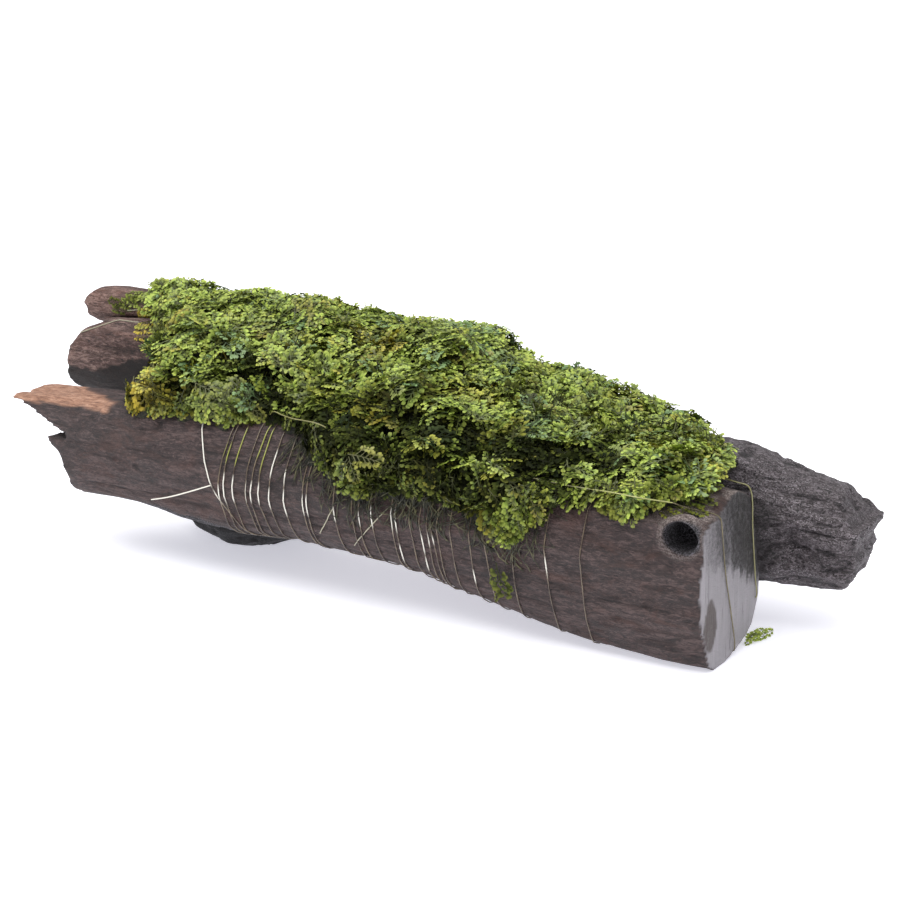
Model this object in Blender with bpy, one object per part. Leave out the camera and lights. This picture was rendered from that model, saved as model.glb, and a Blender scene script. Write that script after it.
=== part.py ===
"""Moss tied with clear line to a branching piece of driftwood that stands on a table.

Lengths below are in millimetres and turn into metres where a mesh is made. X runs along the
wood towards its sawn end, Y away from the side that the moss hangs down, Z up. The wood stands
on the floor at Z = 0.
"""

import math

import bmesh
import bpy
import numpy as np
from mathutils import Vector, noise

MM = 0.001
GAP = 0.3

# The trunk: outlines of (y, z) at three places, from the front top corner down the front,
# along the bottom, up the back and over the top.
TRUNK_LEFT_X = -150.0
TRUNK_SAWN_X = 115.0
TRUNK_RINGS = 32
TRUNK_SIDES = 32
TRUNK_OUTLINES = {
    -118.0: [(-15, 48.5), (-18.5, 43), (-20.5, 36), (-20.5, 29), (-18.5, 22.5), (-12.5, 18),
             (-3, 17.5), (5, 21), (10, 27), (11, 34), (10, 41), (6, 47), (-1, 50.5), (-9, 50)],
    0.0: [(-22, 47), (-26, 41), (-27.5, 35), (-26, 27), (-21.5, 19.5), (-14, 14.5), (-3, 13.5),
          (7, 16), (14, 23), (16, 32), (14, 42), (7, 51), (-4, 54), (-15, 52)],
    115.0: [(-23.5, 44), (-24.7, 36.5), (-25.6, 28), (-25, 18.5), (-20, 7.5), (-13, -2.4), (1, 2.2),
            (11, 4.2), (16, 11), (16.5, 22), (12, 35), (7, 48), (-4, 50.5), (-14.5, 46)],
}
WORN_FLOOR = 0.0

# The other members: stations of (x, centre y, centre z, half width, half height).
REAR_LIMB = [(-150, 26, 53.5, 8.5, 11), (-130, 28, 54.2, 11, 13.3), (-100, 30, 53, 14, 16),
             (-60, 31, 49, 18, 18), (0, 34, 42.5, 21, 20.5), (60, 36, 34.5, 21, 20),
             (100, 38, 32, 18, 20), (125, 38, 29.3, 15.5, 16), (152, 38, 28, 13, 14.3)]
REAR_LIMB_RINGS = 30
REAR_LIMB_SIDES = 24
UPPER_STUB = [(-152, 38, 68.8, 5.5, 5.6), (-135, 39, 69, 7.5, 6.6), (-112, 39, 67.8, 9, 7.2),
              (-96, 38, 63.5, 8.5, 7), (-76, 35, 55, 6, 6)]
UPPER_STUB_RINGS = 9
UPPER_STUB_SIDES = 14
FOOT_STUB = [(-100, 24, 18, 5, 6), (-88, 28, 15.5, 17.5, 13), (-70, 30, 14, 25, 17.5),
             (-54, 29, 16.5, 20.5, 12.8), (-38, 26, 21, 9, 8)]
FOOT_STUB_RINGS = 10
FOOT_STUB_SIDES = 18
SQUARENESS = 2.5
OUTLINE_POINTS = 16
OUTLINE_START = 150.0
CURVE_STEPS = 8
SEEDS = {"trunk": 2.3, "rear_limb": 4.9, "upper_stub": 8.4, "foot_stub": 6.6, "moss": 1.7,
         "tiers": 6.1}

# Grooves along a member: (x from, x to, y, z, width, depth).
REAR_GROOVES = [(-142, -96, 17, 60, 3.5, 3.0), (88, 146, 24, 44, 4.0, 3.5),
                (60, 150, 50, 22, 4.5, 3.0), (-90, 40, 53, 50, 5.0, 3.0)]
TRUNK_GROOVES = [(-110, 20, -21, 24, 4.0, 1.2), (20, 112, -25, 26, 3.5, 0.9),
                 (-60, 60, 16, 24, 5.0, 2.0)]
# Swells of the trunk's belly, as grooves with less than no depth.
TRUNK_SWELLS = [(20, 114, -15, 8, 14.0, -2.9), (-84, -36, -14, 15, 12.0, -3.0)]
# Hollows in a member: (x, y, z, radius, depth).
REAR_HOLLOWS = [(119, 24, 25, 7.0, 7.0), (-112, 17, 50, 8.0, 5.0)]

# Long ridges of weathered grain: (length along x, width across, height).
GRAIN = [(70.0, 8.0, 1.5), (28.0, 4.2, 0.6)]

# Broken ends: how far along x the wood reaches at each height, (x, z) from the top down, the y
# where that is so, and how much further back along x the break lies for each step in y.
TRUNK_BREAK = {
    "edge": [(-136, 56), (-138, 50), (-141, 47.6), (-135, 46.6), (-130, 45.5), (-124.5, 43.5),
             (-119, 41.6), (-113, 39.8), (-111.2, 38.8), (-113.5, 38), (-118, 37.9), (-122, 38.4),
             (-118.6, 35.4), (-115.4, 33), (-113.6, 30), (-112.2, 26.5), (-113.2, 22.5), (-113.4, 12)],
    "y": -15.0, "lean": 0.16, "toward": -1, "seed": 3.1}
REAR_BREAK_RIGHT = {
    "edge": [(133.5, 56), (133.6, 46), (134.6, 42), (134.8, 39.5), (142.6, 35.5), (142, 32),
             (139, 27.5), (141, 25.5), (138.5, 19.8), (137.5, 16.6), (134.5, 13), (133.5, 6)],
    "y": 35.0, "lean": -0.12, "toward": 1, "seed": 5.3}
REAR_BREAK_LEFT = {
    "edge": [(-129, 72), (-134, 65.5), (-138.5, 63.5), (-139.5, 60), (-142.5, 58), (-143, 54),
             (-142, 51), (-144, 48), (-144, 45.5), (-142, 42), (-140, 36)],
    "y": 20.0, "lean": 0.1, "toward": -1, "seed": 7.7}
STUB_BREAK = {
    "edge": [(-138, 82), (-140, 76.5), (-143.5, 73), (-145.5, 70), (-144, 68), (-145.5, 66),
             (-142, 63), (-140, 58)],
    "y": 35.0, "lean": 0.1, "toward": -1, "seed": 9.2}
BREAK_ROWS = 7
BREAK_HALF_WIDTH = 42.0
BREAK_REACH = 60.0
BREAK_ROUGHNESS = 3.0
BREAK_CALM = 20.0
BREAK_LUMPS = (9.0, 5.0)
SPLINTER_FACET = {"point": (-126.0, -11.5, 49.2), "size": (48.0, 34.0, 14.0), "tilt": 27.0}

# The knot hole near the sawn end.
KNOT = {"x": 107.6, "z": 41.6, "hole_radius": 5.8, "hole_end_radius": 4.4, "depth": 11.0,
        "lip_radius": 6.5, "lip_base_radius": 7.2, "lip_proud": 1.1, "lip_root": 4.0,
        "clear": 6.0, "height_share": 0.88, "sides": 16}

# The moss mat: how far down it comes in front, (x, z), and how thick it is on the crest.
MAT_FRONT_EDGE = [(-125, 52), (-93, 49.5), (-66, 50), (-50, 51), (-35, 54), (-26, 51.5), (-21, 46),
                  (-8, 41), (1, 36), (15, 38.5), (34, 38), (49, 34.5), (57, 29), (63, 37),
                  (73, 45), (83, 46), (91, 42.5), (97, 45), (103, 50.5), (114, 50.5)]
MAT_BACK_EDGE = [(-125, 58), (-60, 48), (0, 40), (50, 35), (90, 37), (114, 44)]
MAT_CREST = [(-125, 0.5), (-116, 1.5), (-105, 5), (-96, 6.3), (-90, 9.9), (-72, 12.3),
             (-58, 11.8), (-54, 9.8), (-50, 12.4), (-41, 13.4), (-36, 11.8), (-22, 11),
             (-13, 12.7), (-1, 13.4), (11, 12.5), (15, 9), (21, 9.3), (26, 8.4), (30, 8),
             (36, 6.2), (48, 7.1), (55, 5.4), (64, 5.3), (72, 3.5), (77, 2.3), (83, 3.8),
             (94, 4.9), (101, 5), (114, 3)]
# Where the mat starts and stops along x, from its front edge (0) over the crest to its back (1).
MAT_LEFT = [(0, -93), (0.12, -99), (0.3, -101), (0.42, -105), (0.52, -116), (0.75, -123), (1, -108)]
MAT_RIGHT = [(0, 112), (0.3, 109), (0.5, 104), (0.7, 88), (1, 70)]
MAT_CLEAR = 2.3
MAT_SLACK = 0.1
MAT_STEP = 3.0
MAT_EDGE_THICK = 2.2
MAT_FRONT_SHARE = 0.62
MAT_FRONT_PART = 0.45
MAT_RIM = 0.10
MAT_END_RIM = 0.05
MAT_RINGS = 38
MAT_POINTS = 15
MAT_LUMP_SIZE = 13.0
MAT_LUMP_HEIGHT = 4.0
MAT_TIERS = 4.0
MAT_TIER_HEIGHT = 3.0
MAT_TIER_WANDER = 0.8
MAT_TIER_LENGTH = 30.0

# Sprigs that lie apart from the mat: centre, half sizes and lean about Y in degrees.
FRONT_SPRIG = {"centre": (51.5, 0.0, 19.5), "half": (2.6, 1.0, 6.2), "lean": -14.0}
FALLEN_SPRIG = {"centre": (116.4, 14.0, 1.88), "half": (2.8, 6.5, 2.0), "lean": 0.0}
SPRIG_ROUGHNESS = 0.25
SPRIG_LUMPS = 2.2
SPRIG_LEVELS = 7

# The tying line: where each turn crosses the front, along x.
LINE_RADIUS = 0.2
LINE_SIDES = 3
LINE_SLACK = 0.55
LINE_CLEAR = 0.75
MIN_TURN = 1e-3
LINE_TURNS = [-52, -49.5, -47.5, -44, -39, -37, -34, -30, -24.5, -17.5, -16, -6, 0.5, 3, 7.5,
              14.5, 16, 21, 24.5, 27, 28.5, 30.5, 35, 41.5, 46.5, 55.5, 66.5, 78]
# Its two passes over the sawn end: the loop it comes from, where it runs along the top, the points
# (y, z) that it keeps to on the face between its edges, and where it runs back underneath.
LINE_PASSES = [
    {"loop": 82.0, "top": -14.0, "face": [(-14.0, 43.5), (-11.0, 28.0)], "under": (-1.5, 3.0),
     "back_to": 85.0},
    {"loop": 88.0, "top": 6.5, "face": [(9.0, 36.0), (12.0, 21.0)], "under": (13.5, 15.0),
     "back_to": 99.0}]
LINE_LOWEST = 0.4
LINE_RUN_STEPS = 4
LINE_APART = 1.0
LINE_BEHIND = 3.0
LINE_TAIL = [(-75.0, -26.5, 25.5), (-67.0, -28.5, 28.0), (-59.0, -28.8, 31.0)]

WOOD_COLOUR = (0.066, 0.043, 0.040)
MOSS_COLOUR = (0.150, 0.210, 0.040)
LINE_COLOUR = (0.470, 0.490, 0.330)


def clear_scene():
    for obj in list(bpy.data.objects):
        bpy.data.objects.remove(obj, do_unlink=True)


def material(name, colour, roughness):
    made = bpy.data.materials.new(name)
    made.use_nodes = True
    shader = made.node_tree.nodes["Principled BSDF"]
    shader.inputs["Base Color"].default_value = (*colour, 1.0)
    shader.inputs["Roughness"].default_value = roughness
    shader.inputs["Metallic"].default_value = 0.0
    return made


def lump(point, seed):
    """Smooth noise from -1 to 1."""
    return noise.noise(Vector(point) + Vector((seed, -seed, 0.5 * seed)))


def smooth_outline(points, count):
    """A closed smooth curve through the points, as count points evenly apart."""
    points = np.asarray(points, float)
    spans = len(points)
    curve = []
    for i in range(spans):
        a, b, c, d = (points[(i + k - 1) % spans] for k in range(4))
        for t in np.arange(CURVE_STEPS) / CURVE_STEPS:
            curve.append(
                0.5 * (2 * b + (c - a) * t + (2 * a - 5 * b + 4 * c - d) * t**2
                       + (3 * b - a - 3 * c + d) * t**3)
            )
    return evenly(np.array(curve + curve[:1]), count + 1)[:-1]


def evenly(path, count):
    """The path as count points evenly apart along it."""
    reach = np.concatenate([[0], np.cumsum(np.linalg.norm(np.diff(path, axis=0), axis=1))])
    at = np.linspace(0, reach[-1], count)
    return np.stack([np.interp(at, reach, path[:, k]) for k in range(path.shape[1])], axis=1)


def outward(ring):
    """Unit normals of a closed ring of (y, z) points that runs down the front first."""
    along = np.roll(ring, -1, axis=0) - np.roll(ring, 1, axis=0)
    normal = np.stack([along[:, 1], -along[:, 0]], axis=1)
    return normal / np.linalg.norm(normal, axis=1, keepdims=True)


def trunk_outline(x):
    """The trunk's outline at x: each point follows a parabola through its three places."""
    places = list(TRUNK_OUTLINES)
    total = np.zeros((len(TRUNK_OUTLINES[0.0]), 2))
    for place in places:
        weight = 1.0
        for other in places:
            if other != place:
                weight *= (x - other) / (place - other)
        total += weight * np.array(TRUNK_OUTLINES[place], float)
    return total


def station_outline(stations, x):
    """A rounded-square outline at x, between a member's stations."""
    table = np.array(stations, float)
    y, z, half_width, half_height = (np.interp(x, table[:, 0], table[:, k]) for k in range(1, 5))
    outline = []
    for k in range(OUTLINE_POINTS):
        angle = math.radians(OUTLINE_START) + 2 * math.pi * k / OUTLINE_POINTS
        c, s = math.cos(angle), math.sin(angle)
        reach = (abs(c) ** SQUARENESS + abs(s) ** SQUARENESS) ** (-1 / SQUARENESS)
        outline.append((y + half_width * reach * c, z + half_height * reach * s))
    return np.array(outline)


def grain_height(x, y, z, seed):
    return sum(
        height * lump((x / length, y / width, z / width), seed)
        for length, width, height in GRAIN
    )


def groove_depth(x, y, z, grooves):
    deep = 0.0
    for x_from, x_to, groove_y, groove_z, width, depth in grooves:
        if x_from < x < x_to:
            fade = math.sin(math.pi * (x - x_from) / (x_to - x_from)) ** 0.5
            near = ((y - groove_y) ** 2 + (z - groove_z) ** 2) / width**2
            deep += depth * fade * math.exp(-near)
    return deep


def hollow_depth(x, y, z, hollows):
    deep = 0.0
    for hollow_x, hollow_y, hollow_z, radius, depth in hollows:
        near = ((x - hollow_x) ** 2 + (y - hollow_y) ** 2 + (z - hollow_z) ** 2) / radius**2
        deep += depth * math.exp(-near)
    return deep


class Member:
    """One branch of the wood: rings of points across x that a mesh is lofted through."""

    def __init__(self, outline, x_from, x_to, rings, sides, seed, grooves=(), hollows=()):
        self.outline = outline
        self.xs = np.linspace(x_from, x_to, rings)
        self.sides = sides
        self.seed = seed
        self.grooves = grooves
        self.hollows = hollows
        self.rings = [self.ring(x, 0.0) for x in self.xs]

    def ring(self, x, grow):
        ring = smooth_outline(self.outline(x), self.sides)
        height = np.array([
            grain_height(x, y, z, self.seed)
            - groove_depth(x, y, z, self.grooves)
            - hollow_depth(x, y, z, self.hollows)
            for y, z in ring
        ])
        ring = ring + outward(ring) * height[:, None]
        ring[:, 1] = np.maximum(ring[:, 1], WORN_FLOOR)
        return ring + outward(ring) * grow

    def section(self, x):
        """The member's points at x, or none beyond its ends."""
        if not self.xs[0] <= x <= self.xs[-1]:
            return np.zeros((0, 2))
        place = np.interp(x, self.xs, np.arange(len(self.xs)))
        first = min(int(place), len(self.xs) - 2)
        share = place - first
        return (1 - share) * self.rings[first] + share * self.rings[first + 1]

    def solid(self, name, grow=0.0):
        """The lofted mesh, grown outward all round when it is used to cut a neighbour."""
        rows = []
        for x, ring in zip(self.xs, self.rings):
            points = self.ring(x, grow) if grow else ring
            rows.append([(x, y, z) for y, z in points])
        if grow:
            rows[0] = [(x - grow, y, z) for x, y, z in rows[0]]
            rows[-1] = [(x + grow, y, z) for x, y, z in rows[-1]]
        return loft(name, rows)


def mesh_object(name, bm):
    bmesh.ops.recalc_face_normals(bm, faces=bm.faces)
    mesh = bpy.data.meshes.new(name)
    bm.to_mesh(mesh)
    bm.free()
    obj = bpy.data.objects.new(name, mesh)
    bpy.context.scene.collection.objects.link(obj)
    return obj


def loft(name, rows, cap=None):
    """A closed mesh through rows of closed rings. cap lists the faces of an end, by ring index."""
    bm = bmesh.new()
    rings = [[bm.verts.new(Vector(p) * MM) for p in row] for row in rows]
    for ring, following in zip(rings, rings[1:]):
        for i in range(len(ring)):
            j = (i + 1) % len(ring)
            bm.faces.new((ring[i], ring[j], following[j], following[i]))
    for ring in (rings[0], rings[-1]):
        for face in cap or [range(len(ring))]:
            bm.faces.new([ring[i] for i in face])
    return mesh_object(name, bm)


def cut(obj, tool, operation="DIFFERENCE"):
    tool.hide_render = True
    tool.hide_set(True)
    tool.display_type = "WIRE"
    change = obj.modifiers.new(tool.name, "BOOLEAN")
    change.operation = operation
    change.solver = "EXACT"
    change.object = tool


def break_tool(name, edge, y, lean, toward, seed):
    """A cutter whose ragged edge leaves a broken end, rougher away from where its edge was read."""
    rows = []
    for aside in np.linspace(-BREAK_HALF_WIDTH, BREAK_HALF_WIDTH, BREAK_ROWS):
        rough = BREAK_ROUGHNESS * min(1.0, abs(aside) / BREAK_CALM)
        row = [
            (x + lean * aside
             + rough * lump((aside / BREAK_LUMPS[0], z / BREAK_LUMPS[1], 0), seed), y + aside, z)
            for x, z in edge
        ]
        for (x, _, z), rise in ((row[-1], -BREAK_REACH), (row[0], BREAK_REACH)):
            row.append((x + toward * BREAK_REACH, y + aside, z + rise))
        rows.append(row)
    return loft(name, rows)


def facet_tool(name, point, size, tilt):
    """A box that cuts a sloping facet whose middle is the point."""
    bm = bmesh.new()
    bmesh.ops.create_cube(bm, size=1.0)
    bmesh.ops.scale(bm, vec=Vector(size) * MM, verts=bm.verts)
    bmesh.ops.translate(bm, vec=(0, 0, size[2] / 2 * MM), verts=bm.verts)
    obj = mesh_object(name, bm)
    obj.location = Vector(point) * MM
    obj.rotation_euler = (math.radians(tilt), 0, 0)
    return obj


def disc(name, centre, radius, y_from, y_to, far_radius):
    """An oval plug along Y, with its own radius at each end."""
    rows = []
    for y, r in ((y_from, radius), (y_to, far_radius)):
        rows.append([
            (centre[0] + r * math.cos(2 * math.pi * k / KNOT["sides"]), y,
             centre[1] + r * KNOT["height_share"] * math.sin(2 * math.pi * k / KNOT["sides"]))
            for k in range(KNOT["sides"])
        ])
    return loft(name, rows)


def front_of(member, x, z):
    """The y of a member's front face at x and z."""
    section = member.section(x)
    ahead = section[section[:, 0] < section[:, 0].mean()]
    order = np.argsort(ahead[:, 1])
    return float(np.interp(z, ahead[order, 1], ahead[order, 0]))


def make_trunk(member):
    trunk = member.solid("trunk")
    front = front_of(member, KNOT["x"], KNOT["z"])
    centre = (KNOT["x"], KNOT["z"])
    lip = disc("knot_lip", centre, KNOT["lip_radius"], front - KNOT["lip_proud"],
               front + KNOT["lip_root"], KNOT["lip_base_radius"])
    hole = disc("knot_hole", centre, KNOT["hole_radius"], front - KNOT["clear"],
                front + KNOT["depth"], KNOT["hole_end_radius"])
    cut(trunk, lip, "UNION")
    cut(trunk, hole)
    cut(trunk, break_tool("trunk_break", **TRUNK_BREAK))
    cut(trunk, facet_tool("splinter_facet", **SPLINTER_FACET))
    return trunk


def make_rear_limb(member, trunk_grown):
    limb = member.solid("rear_limb")
    cut(limb, trunk_grown)
    cut(limb, break_tool("rear_break_right", **REAR_BREAK_RIGHT))
    cut(limb, break_tool("rear_break_left", **REAR_BREAK_LEFT))
    return limb


def make_upper_stub(member, limb_grown):
    stub = member.solid("upper_stub")
    cut(stub, limb_grown)
    cut(stub, break_tool("stub_break", **STUB_BREAK))
    return stub


def make_foot_stub(member, trunk_grown, limb_grown):
    foot = member.solid("foot_stub")
    cut(foot, trunk_grown)
    cut(foot, limb_grown)
    return foot


def meet(first, second):
    """Where two lines cross, each a normal and its reach along it, or None if they don't ahead."""
    turn = first[0][0] * second[0][1] - first[0][1] * second[0][0]
    if turn < MIN_TURN:
        return None
    return np.linalg.solve(np.array([first[0], second[0]]), np.array([first[1], second[1]]))


def hull(points):
    """The corners of the points' convex outline, going round from the lowest y."""
    points = sorted(map(tuple, points))
    sides = []
    for run in (points, points[::-1]):
        side = []
        for p in run:
            while len(side) > 1 and np.cross(np.subtract(side[-1], side[-2]),
                                             np.subtract(p, side[-1])) <= 0:
                side.pop()
            side.append(p)
        sides += side[:-1]
    return np.array(sides)


def taut_loop(members, x, clear, slack):
    """The loop of few corners that goes tight round all the wood at x, clear of it."""
    corners = hull(np.vstack([member.section(x) for member in members]))
    along = np.roll(corners, -1, axis=0) - corners
    normals = np.stack([along[:, 1], -along[:, 0]], axis=1)
    normals /= np.linalg.norm(normals, axis=1, keepdims=True)
    lines = [(n, float(n @ p) + clear) for n, p in zip(normals, corners)]
    while True:
        excess = []
        for i, (normal, reach) in enumerate(lines):
            corner = meet(lines[i - 1], lines[(i + 1) % len(lines)])
            excess.append(math.inf if corner is None else float(corner @ normal) - reach)
        if min(excess) > slack:
            break
        lines.pop(excess.index(min(excess)))
    return np.array([meet(lines[i - 1], line) for i, line in enumerate(lines)])


def table(pairs, at):
    pairs = np.array(pairs, float)
    return float(np.interp(at, pairs[:, 0], pairs[:, 1]))


def rise_to(loop, z):
    """The share of an open path at which it first rises past z."""
    reach = np.concatenate([[0], np.cumsum(np.linalg.norm(np.diff(loop, axis=0), axis=1))])
    for i in range(len(loop) - 1):
        if loop[i, 1] <= z <= loop[i + 1, 1]:
            share = (z - loop[i, 1]) / (loop[i + 1, 1] - loop[i, 1])
            return reach[i] + share * (reach[i + 1] - reach[i]), reach[-1]
    raise ValueError("the edge of the mat misses the wood")


def cover(members, x, share):
    """A point over the wood at x, share of the way from the mat's front edge to its back."""
    loop = taut_loop(members, x, MAT_CLEAR, MAT_SLACK)
    loop = np.roll(loop, -int(np.argmin(loop[:, 1])), axis=0)[::-1]
    start, whole = rise_to(loop, table(MAT_FRONT_EDGE, x))
    end_left, _ = rise_to(loop[::-1], table(MAT_BACK_EDGE, x))
    at = start + share * (whole - end_left - start)
    reach = np.concatenate([[0], np.cumsum(np.linalg.norm(np.diff(loop, axis=0), axis=1))])
    point = np.array([np.interp(at, reach, loop[:, k]) for k in range(2)])
    ahead = np.array([np.interp(at + MAT_STEP, reach, loop[:, k]) for k in range(2)])
    behind = np.array([np.interp(at - MAT_STEP, reach, loop[:, k]) for k in range(2)])
    along = (ahead - behind) / np.linalg.norm(ahead - behind)
    return point, np.array([-along[1], along[0]])


def mat_thickness(x, y, z, share, end_share):
    """How thick the moss is: thin at its rim, lumpy and tiered within."""
    crest = table(MAT_CREST, x)
    front = 1 - (1 - MAT_FRONT_SHARE) * max(0.0, 1 - share / MAT_FRONT_PART)
    rim = min(1.0, min(share, 1 - share) / MAT_RIM) ** 0.5
    end = min(1.0, min(end_share, 1 - end_share) / MAT_END_RIM) ** 0.5
    lumps = MAT_LUMP_HEIGHT * lump(Vector((x, y, z)) / MAT_LUMP_SIZE, SEEDS["moss"])
    wander = MAT_TIER_WANDER * lump((x / MAT_TIER_LENGTH, 0, 0), SEEDS["tiers"])
    tier = (share * MAT_TIERS + wander) % 1.0
    whole = crest * front + lumps + MAT_TIER_HEIGHT * (0.5 - tier)
    return MAT_EDGE_THICK + max(0.0, whole - MAT_EDGE_THICK) * rim * end


def make_moss_mat(members):
    rows = []
    for end_share in np.linspace(0, 1, MAT_RINGS):
        outer = []
        inner = []
        for share in np.linspace(0, 1, MAT_POINTS):
            x = table(MAT_LEFT, share) * (1 - end_share) + table(MAT_RIGHT, share) * end_share
            point, normal = cover(members, x, share)
            thick = mat_thickness(x, *point, share, end_share)
            outer.append((x, *(point + normal * thick)))
            inner.append((x, *point))
        rows.append(outer + inner[::-1])
    last = 2 * MAT_POINTS - 1
    cap = [(k, k + 1, last - k - 1, last - k) for k in range(MAT_POINTS - 1)]
    return loft("moss_mat", rows, cap)


def make_sprig(name, centre, half, lean):
    """A flattened ragged lump of moss."""
    bm = bmesh.new()
    bmesh.ops.create_icosphere(bm, subdivisions=2, radius=1.0)
    for vert in bm.verts:
        vert.co *= 1 + SPRIG_ROUGHNESS * lump(vert.co * SPRIG_LUMPS, centre[0])
    top = max(max(abs(c) for c in vert.co) for vert in bm.verts)
    bmesh.ops.scale(bm, vec=Vector(half) * MM / top, verts=bm.verts)
    obj = mesh_object(name, bm)
    obj.location = Vector(centre) * MM
    obj.rotation_euler = (0, math.radians(lean), 0)
    return obj


def make_front_sprig(member):
    x, _, z = FRONT_SPRIG["centre"]
    clear = FRONT_SPRIG["half"][1] + 2 * GAP
    reach = FRONT_SPRIG["half"][2]
    levels = np.linspace(z - reach, z + reach, SPRIG_LEVELS)
    front = min(front_of(member, x, level) for level in levels)
    placed = dict(FRONT_SPRIG, centre=(x, front - clear, z))
    return make_sprig("front_sprig", **placed)


def crossing(loop, y, top):
    """The height at which a loop crosses y, along its top or its underside."""
    heights = [
        a[1] + (b[1] - a[1]) * (y - a[0]) / (b[0] - a[0])
        for a, b in zip(loop, np.roll(loop, -1, axis=0))
        if a[0] != b[0] and min(a[0], b[0]) <= y <= max(a[0], b[0])
    ]
    return max(heights) if top else min(heights)


def from_back(members, x):
    """The line's loop at x, from the back over the top, down the front and back underneath."""
    loop = taut_loop(members, x, LINE_CLEAR, LINE_SLACK)
    return np.roll(loop, -int(np.argmax(loop[:, 0])), axis=0)


def run_along(members, x_from, x_to, y_from, y_to, top):
    """Points along the wood's top or underside, from one x and y to another."""
    points = []
    for share in np.linspace(0, 1, LINE_RUN_STEPS):
        x = x_from + (x_to - x_from) * share
        y = y_from + (y_to - y_from) * share
        points.append((x, y, crossing(from_back(members, x), y, top)))
    return points


def line_route(members):
    """The tying line's points: its tail, its turns and its passes over the sawn end."""
    points = list(LINE_TAIL)
    for x, following in zip(LINE_TURNS, LINE_TURNS[1:] + [LINE_PASSES[0]["loop"]]):
        loop = from_back(members, x)
        first = int(np.argmin(loop[:, 0])) if x == LINE_TURNS[0] else 0
        points += [(x, y, z) for y, z in loop[first:]]
        points.append(((x + following) / 2, *loop[0]))
    for over in LINE_PASSES:
        loop = from_back(members, over["loop"])
        onto_top = [corner for corner in loop if corner[1] >= loop[0][1] and corner[0] > over["top"]]
        points += [(over["loop"], y, z) for y, z in onto_top]
        top = run_along(members, over["loop"] + 2 * LINE_APART, TRUNK_SAWN_X, over["top"],
                        over["top"], True)
        under = run_along(members, TRUNK_SAWN_X, over["back_to"], *over["under"], False)
        face_x = TRUNK_SAWN_X + LINE_CLEAR
        points += top
        points.append((face_x, *top[-1][1:]))
        points += [(face_x, y, z) for y, z in over["face"]]
        points.append((face_x, *under[0][1:]))
        points += under
        if over is not LINE_PASSES[-1]:
            up_at = over["back_to"] + LINE_APART
            back = from_back(members, up_at)
            from_y = over["under"][1] + LINE_BEHIND
            behind = [c for c in back[1:] if c[1] < back[0][1] and c[0] > from_y]
            points += [(up_at, y, z) for y, z in behind]
    return [(x, y, max(z, LINE_LOWEST)) for x, y, z in points]


def tube(name, points, radius, sides):
    """A closed tube along an open path."""
    points = [Vector(p) for p in points]
    side = None
    rows = []
    for i, point in enumerate(points):
        along = (points[min(i + 1, len(points) - 1)] - points[max(i - 1, 0)]).normalized()
        if side is None:
            side = along.orthogonal().normalized()
        side = (side - along * side.dot(along)).normalized()
        other = along.cross(side)
        rows.append([
            point + radius * (math.cos(2 * math.pi * k / sides) * side
                              + math.sin(2 * math.pi * k / sides) * other)
            for k in range(sides)
        ])
    return loft(name, rows)


def finish(obj, look):
    obj.data.materials.append(look)
    obj.data.shade_smooth()
    obj.data.set_sharp_from_angle(angle=math.radians(40))


def centre_on_origin():
    """Hangs everything on one empty and moves it so that the origin is under the middle."""
    stand = bpy.data.objects.new("stand", None)
    made = list(bpy.data.objects)
    bpy.context.scene.collection.objects.link(stand)
    bpy.context.view_layer.update()
    graph = bpy.context.evaluated_depsgraph_get()
    corners = np.array([
        obj.matrix_world @ Vector(corner)
        for obj in made if obj.type == "MESH" and not obj.hide_render
        for corner in obj.evaluated_get(graph).bound_box
    ])
    middle = (corners.min(axis=0) + corners.max(axis=0)) / 2
    for obj in made:
        if obj != stand:
            obj.parent = stand
    stand.location = (-middle[0], -middle[1], 0)


def main():
    clear_scene()
    wood = material("driftwood", WOOD_COLOUR, 0.75)
    moss = material("moss", MOSS_COLOUR, 0.6)
    nylon = material("nylon_line", LINE_COLOUR, 0.25)

    trunk = Member(trunk_outline, TRUNK_LEFT_X, TRUNK_SAWN_X, TRUNK_RINGS, TRUNK_SIDES,
                   SEEDS["trunk"], TRUNK_GROOVES + TRUNK_SWELLS)
    limb = Member(lambda x: station_outline(REAR_LIMB, x), REAR_LIMB[0][0], REAR_LIMB[-1][0],
                  REAR_LIMB_RINGS, REAR_LIMB_SIDES, SEEDS["rear_limb"], REAR_GROOVES, REAR_HOLLOWS)
    stub = Member(lambda x: station_outline(UPPER_STUB, x), UPPER_STUB[0][0], UPPER_STUB[-1][0],
                  UPPER_STUB_RINGS, UPPER_STUB_SIDES, SEEDS["upper_stub"])
    foot = Member(lambda x: station_outline(FOOT_STUB, x), FOOT_STUB[0][0], FOOT_STUB[-1][0],
                  FOOT_STUB_RINGS, FOOT_STUB_SIDES, SEEDS["foot_stub"])
    members = [trunk, limb, stub, foot]
    trunk_grown = trunk.solid("trunk_grown", GAP)
    limb_grown = limb.solid("limb_grown", GAP)

    finish(make_trunk(trunk), wood)
    finish(make_rear_limb(limb, trunk_grown), wood)
    finish(make_upper_stub(stub, limb_grown), wood)
    finish(make_foot_stub(foot, trunk_grown, limb_grown), wood)
    finish(make_moss_mat(members), moss)
    finish(make_front_sprig(trunk), moss)
    finish(make_sprig("fallen_sprig", **FALLEN_SPRIG), moss)
    finish(tube("tying_line", line_route(members), LINE_RADIUS, LINE_SIDES), nylon)
    centre_on_origin()


main()
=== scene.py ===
"""The looks of moss tied to driftwood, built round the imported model.

Lengths are in millimetres, and turn into metres where a mesh, a light or the camera is made. The
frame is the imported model's: X along the wood towards its sawn end, Y away from the side that the
moss hangs down, Z up from the table.
"""

import math

import bpy
import numpy as np
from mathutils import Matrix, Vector
from mathutils.bvhtree import BVHTree


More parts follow.
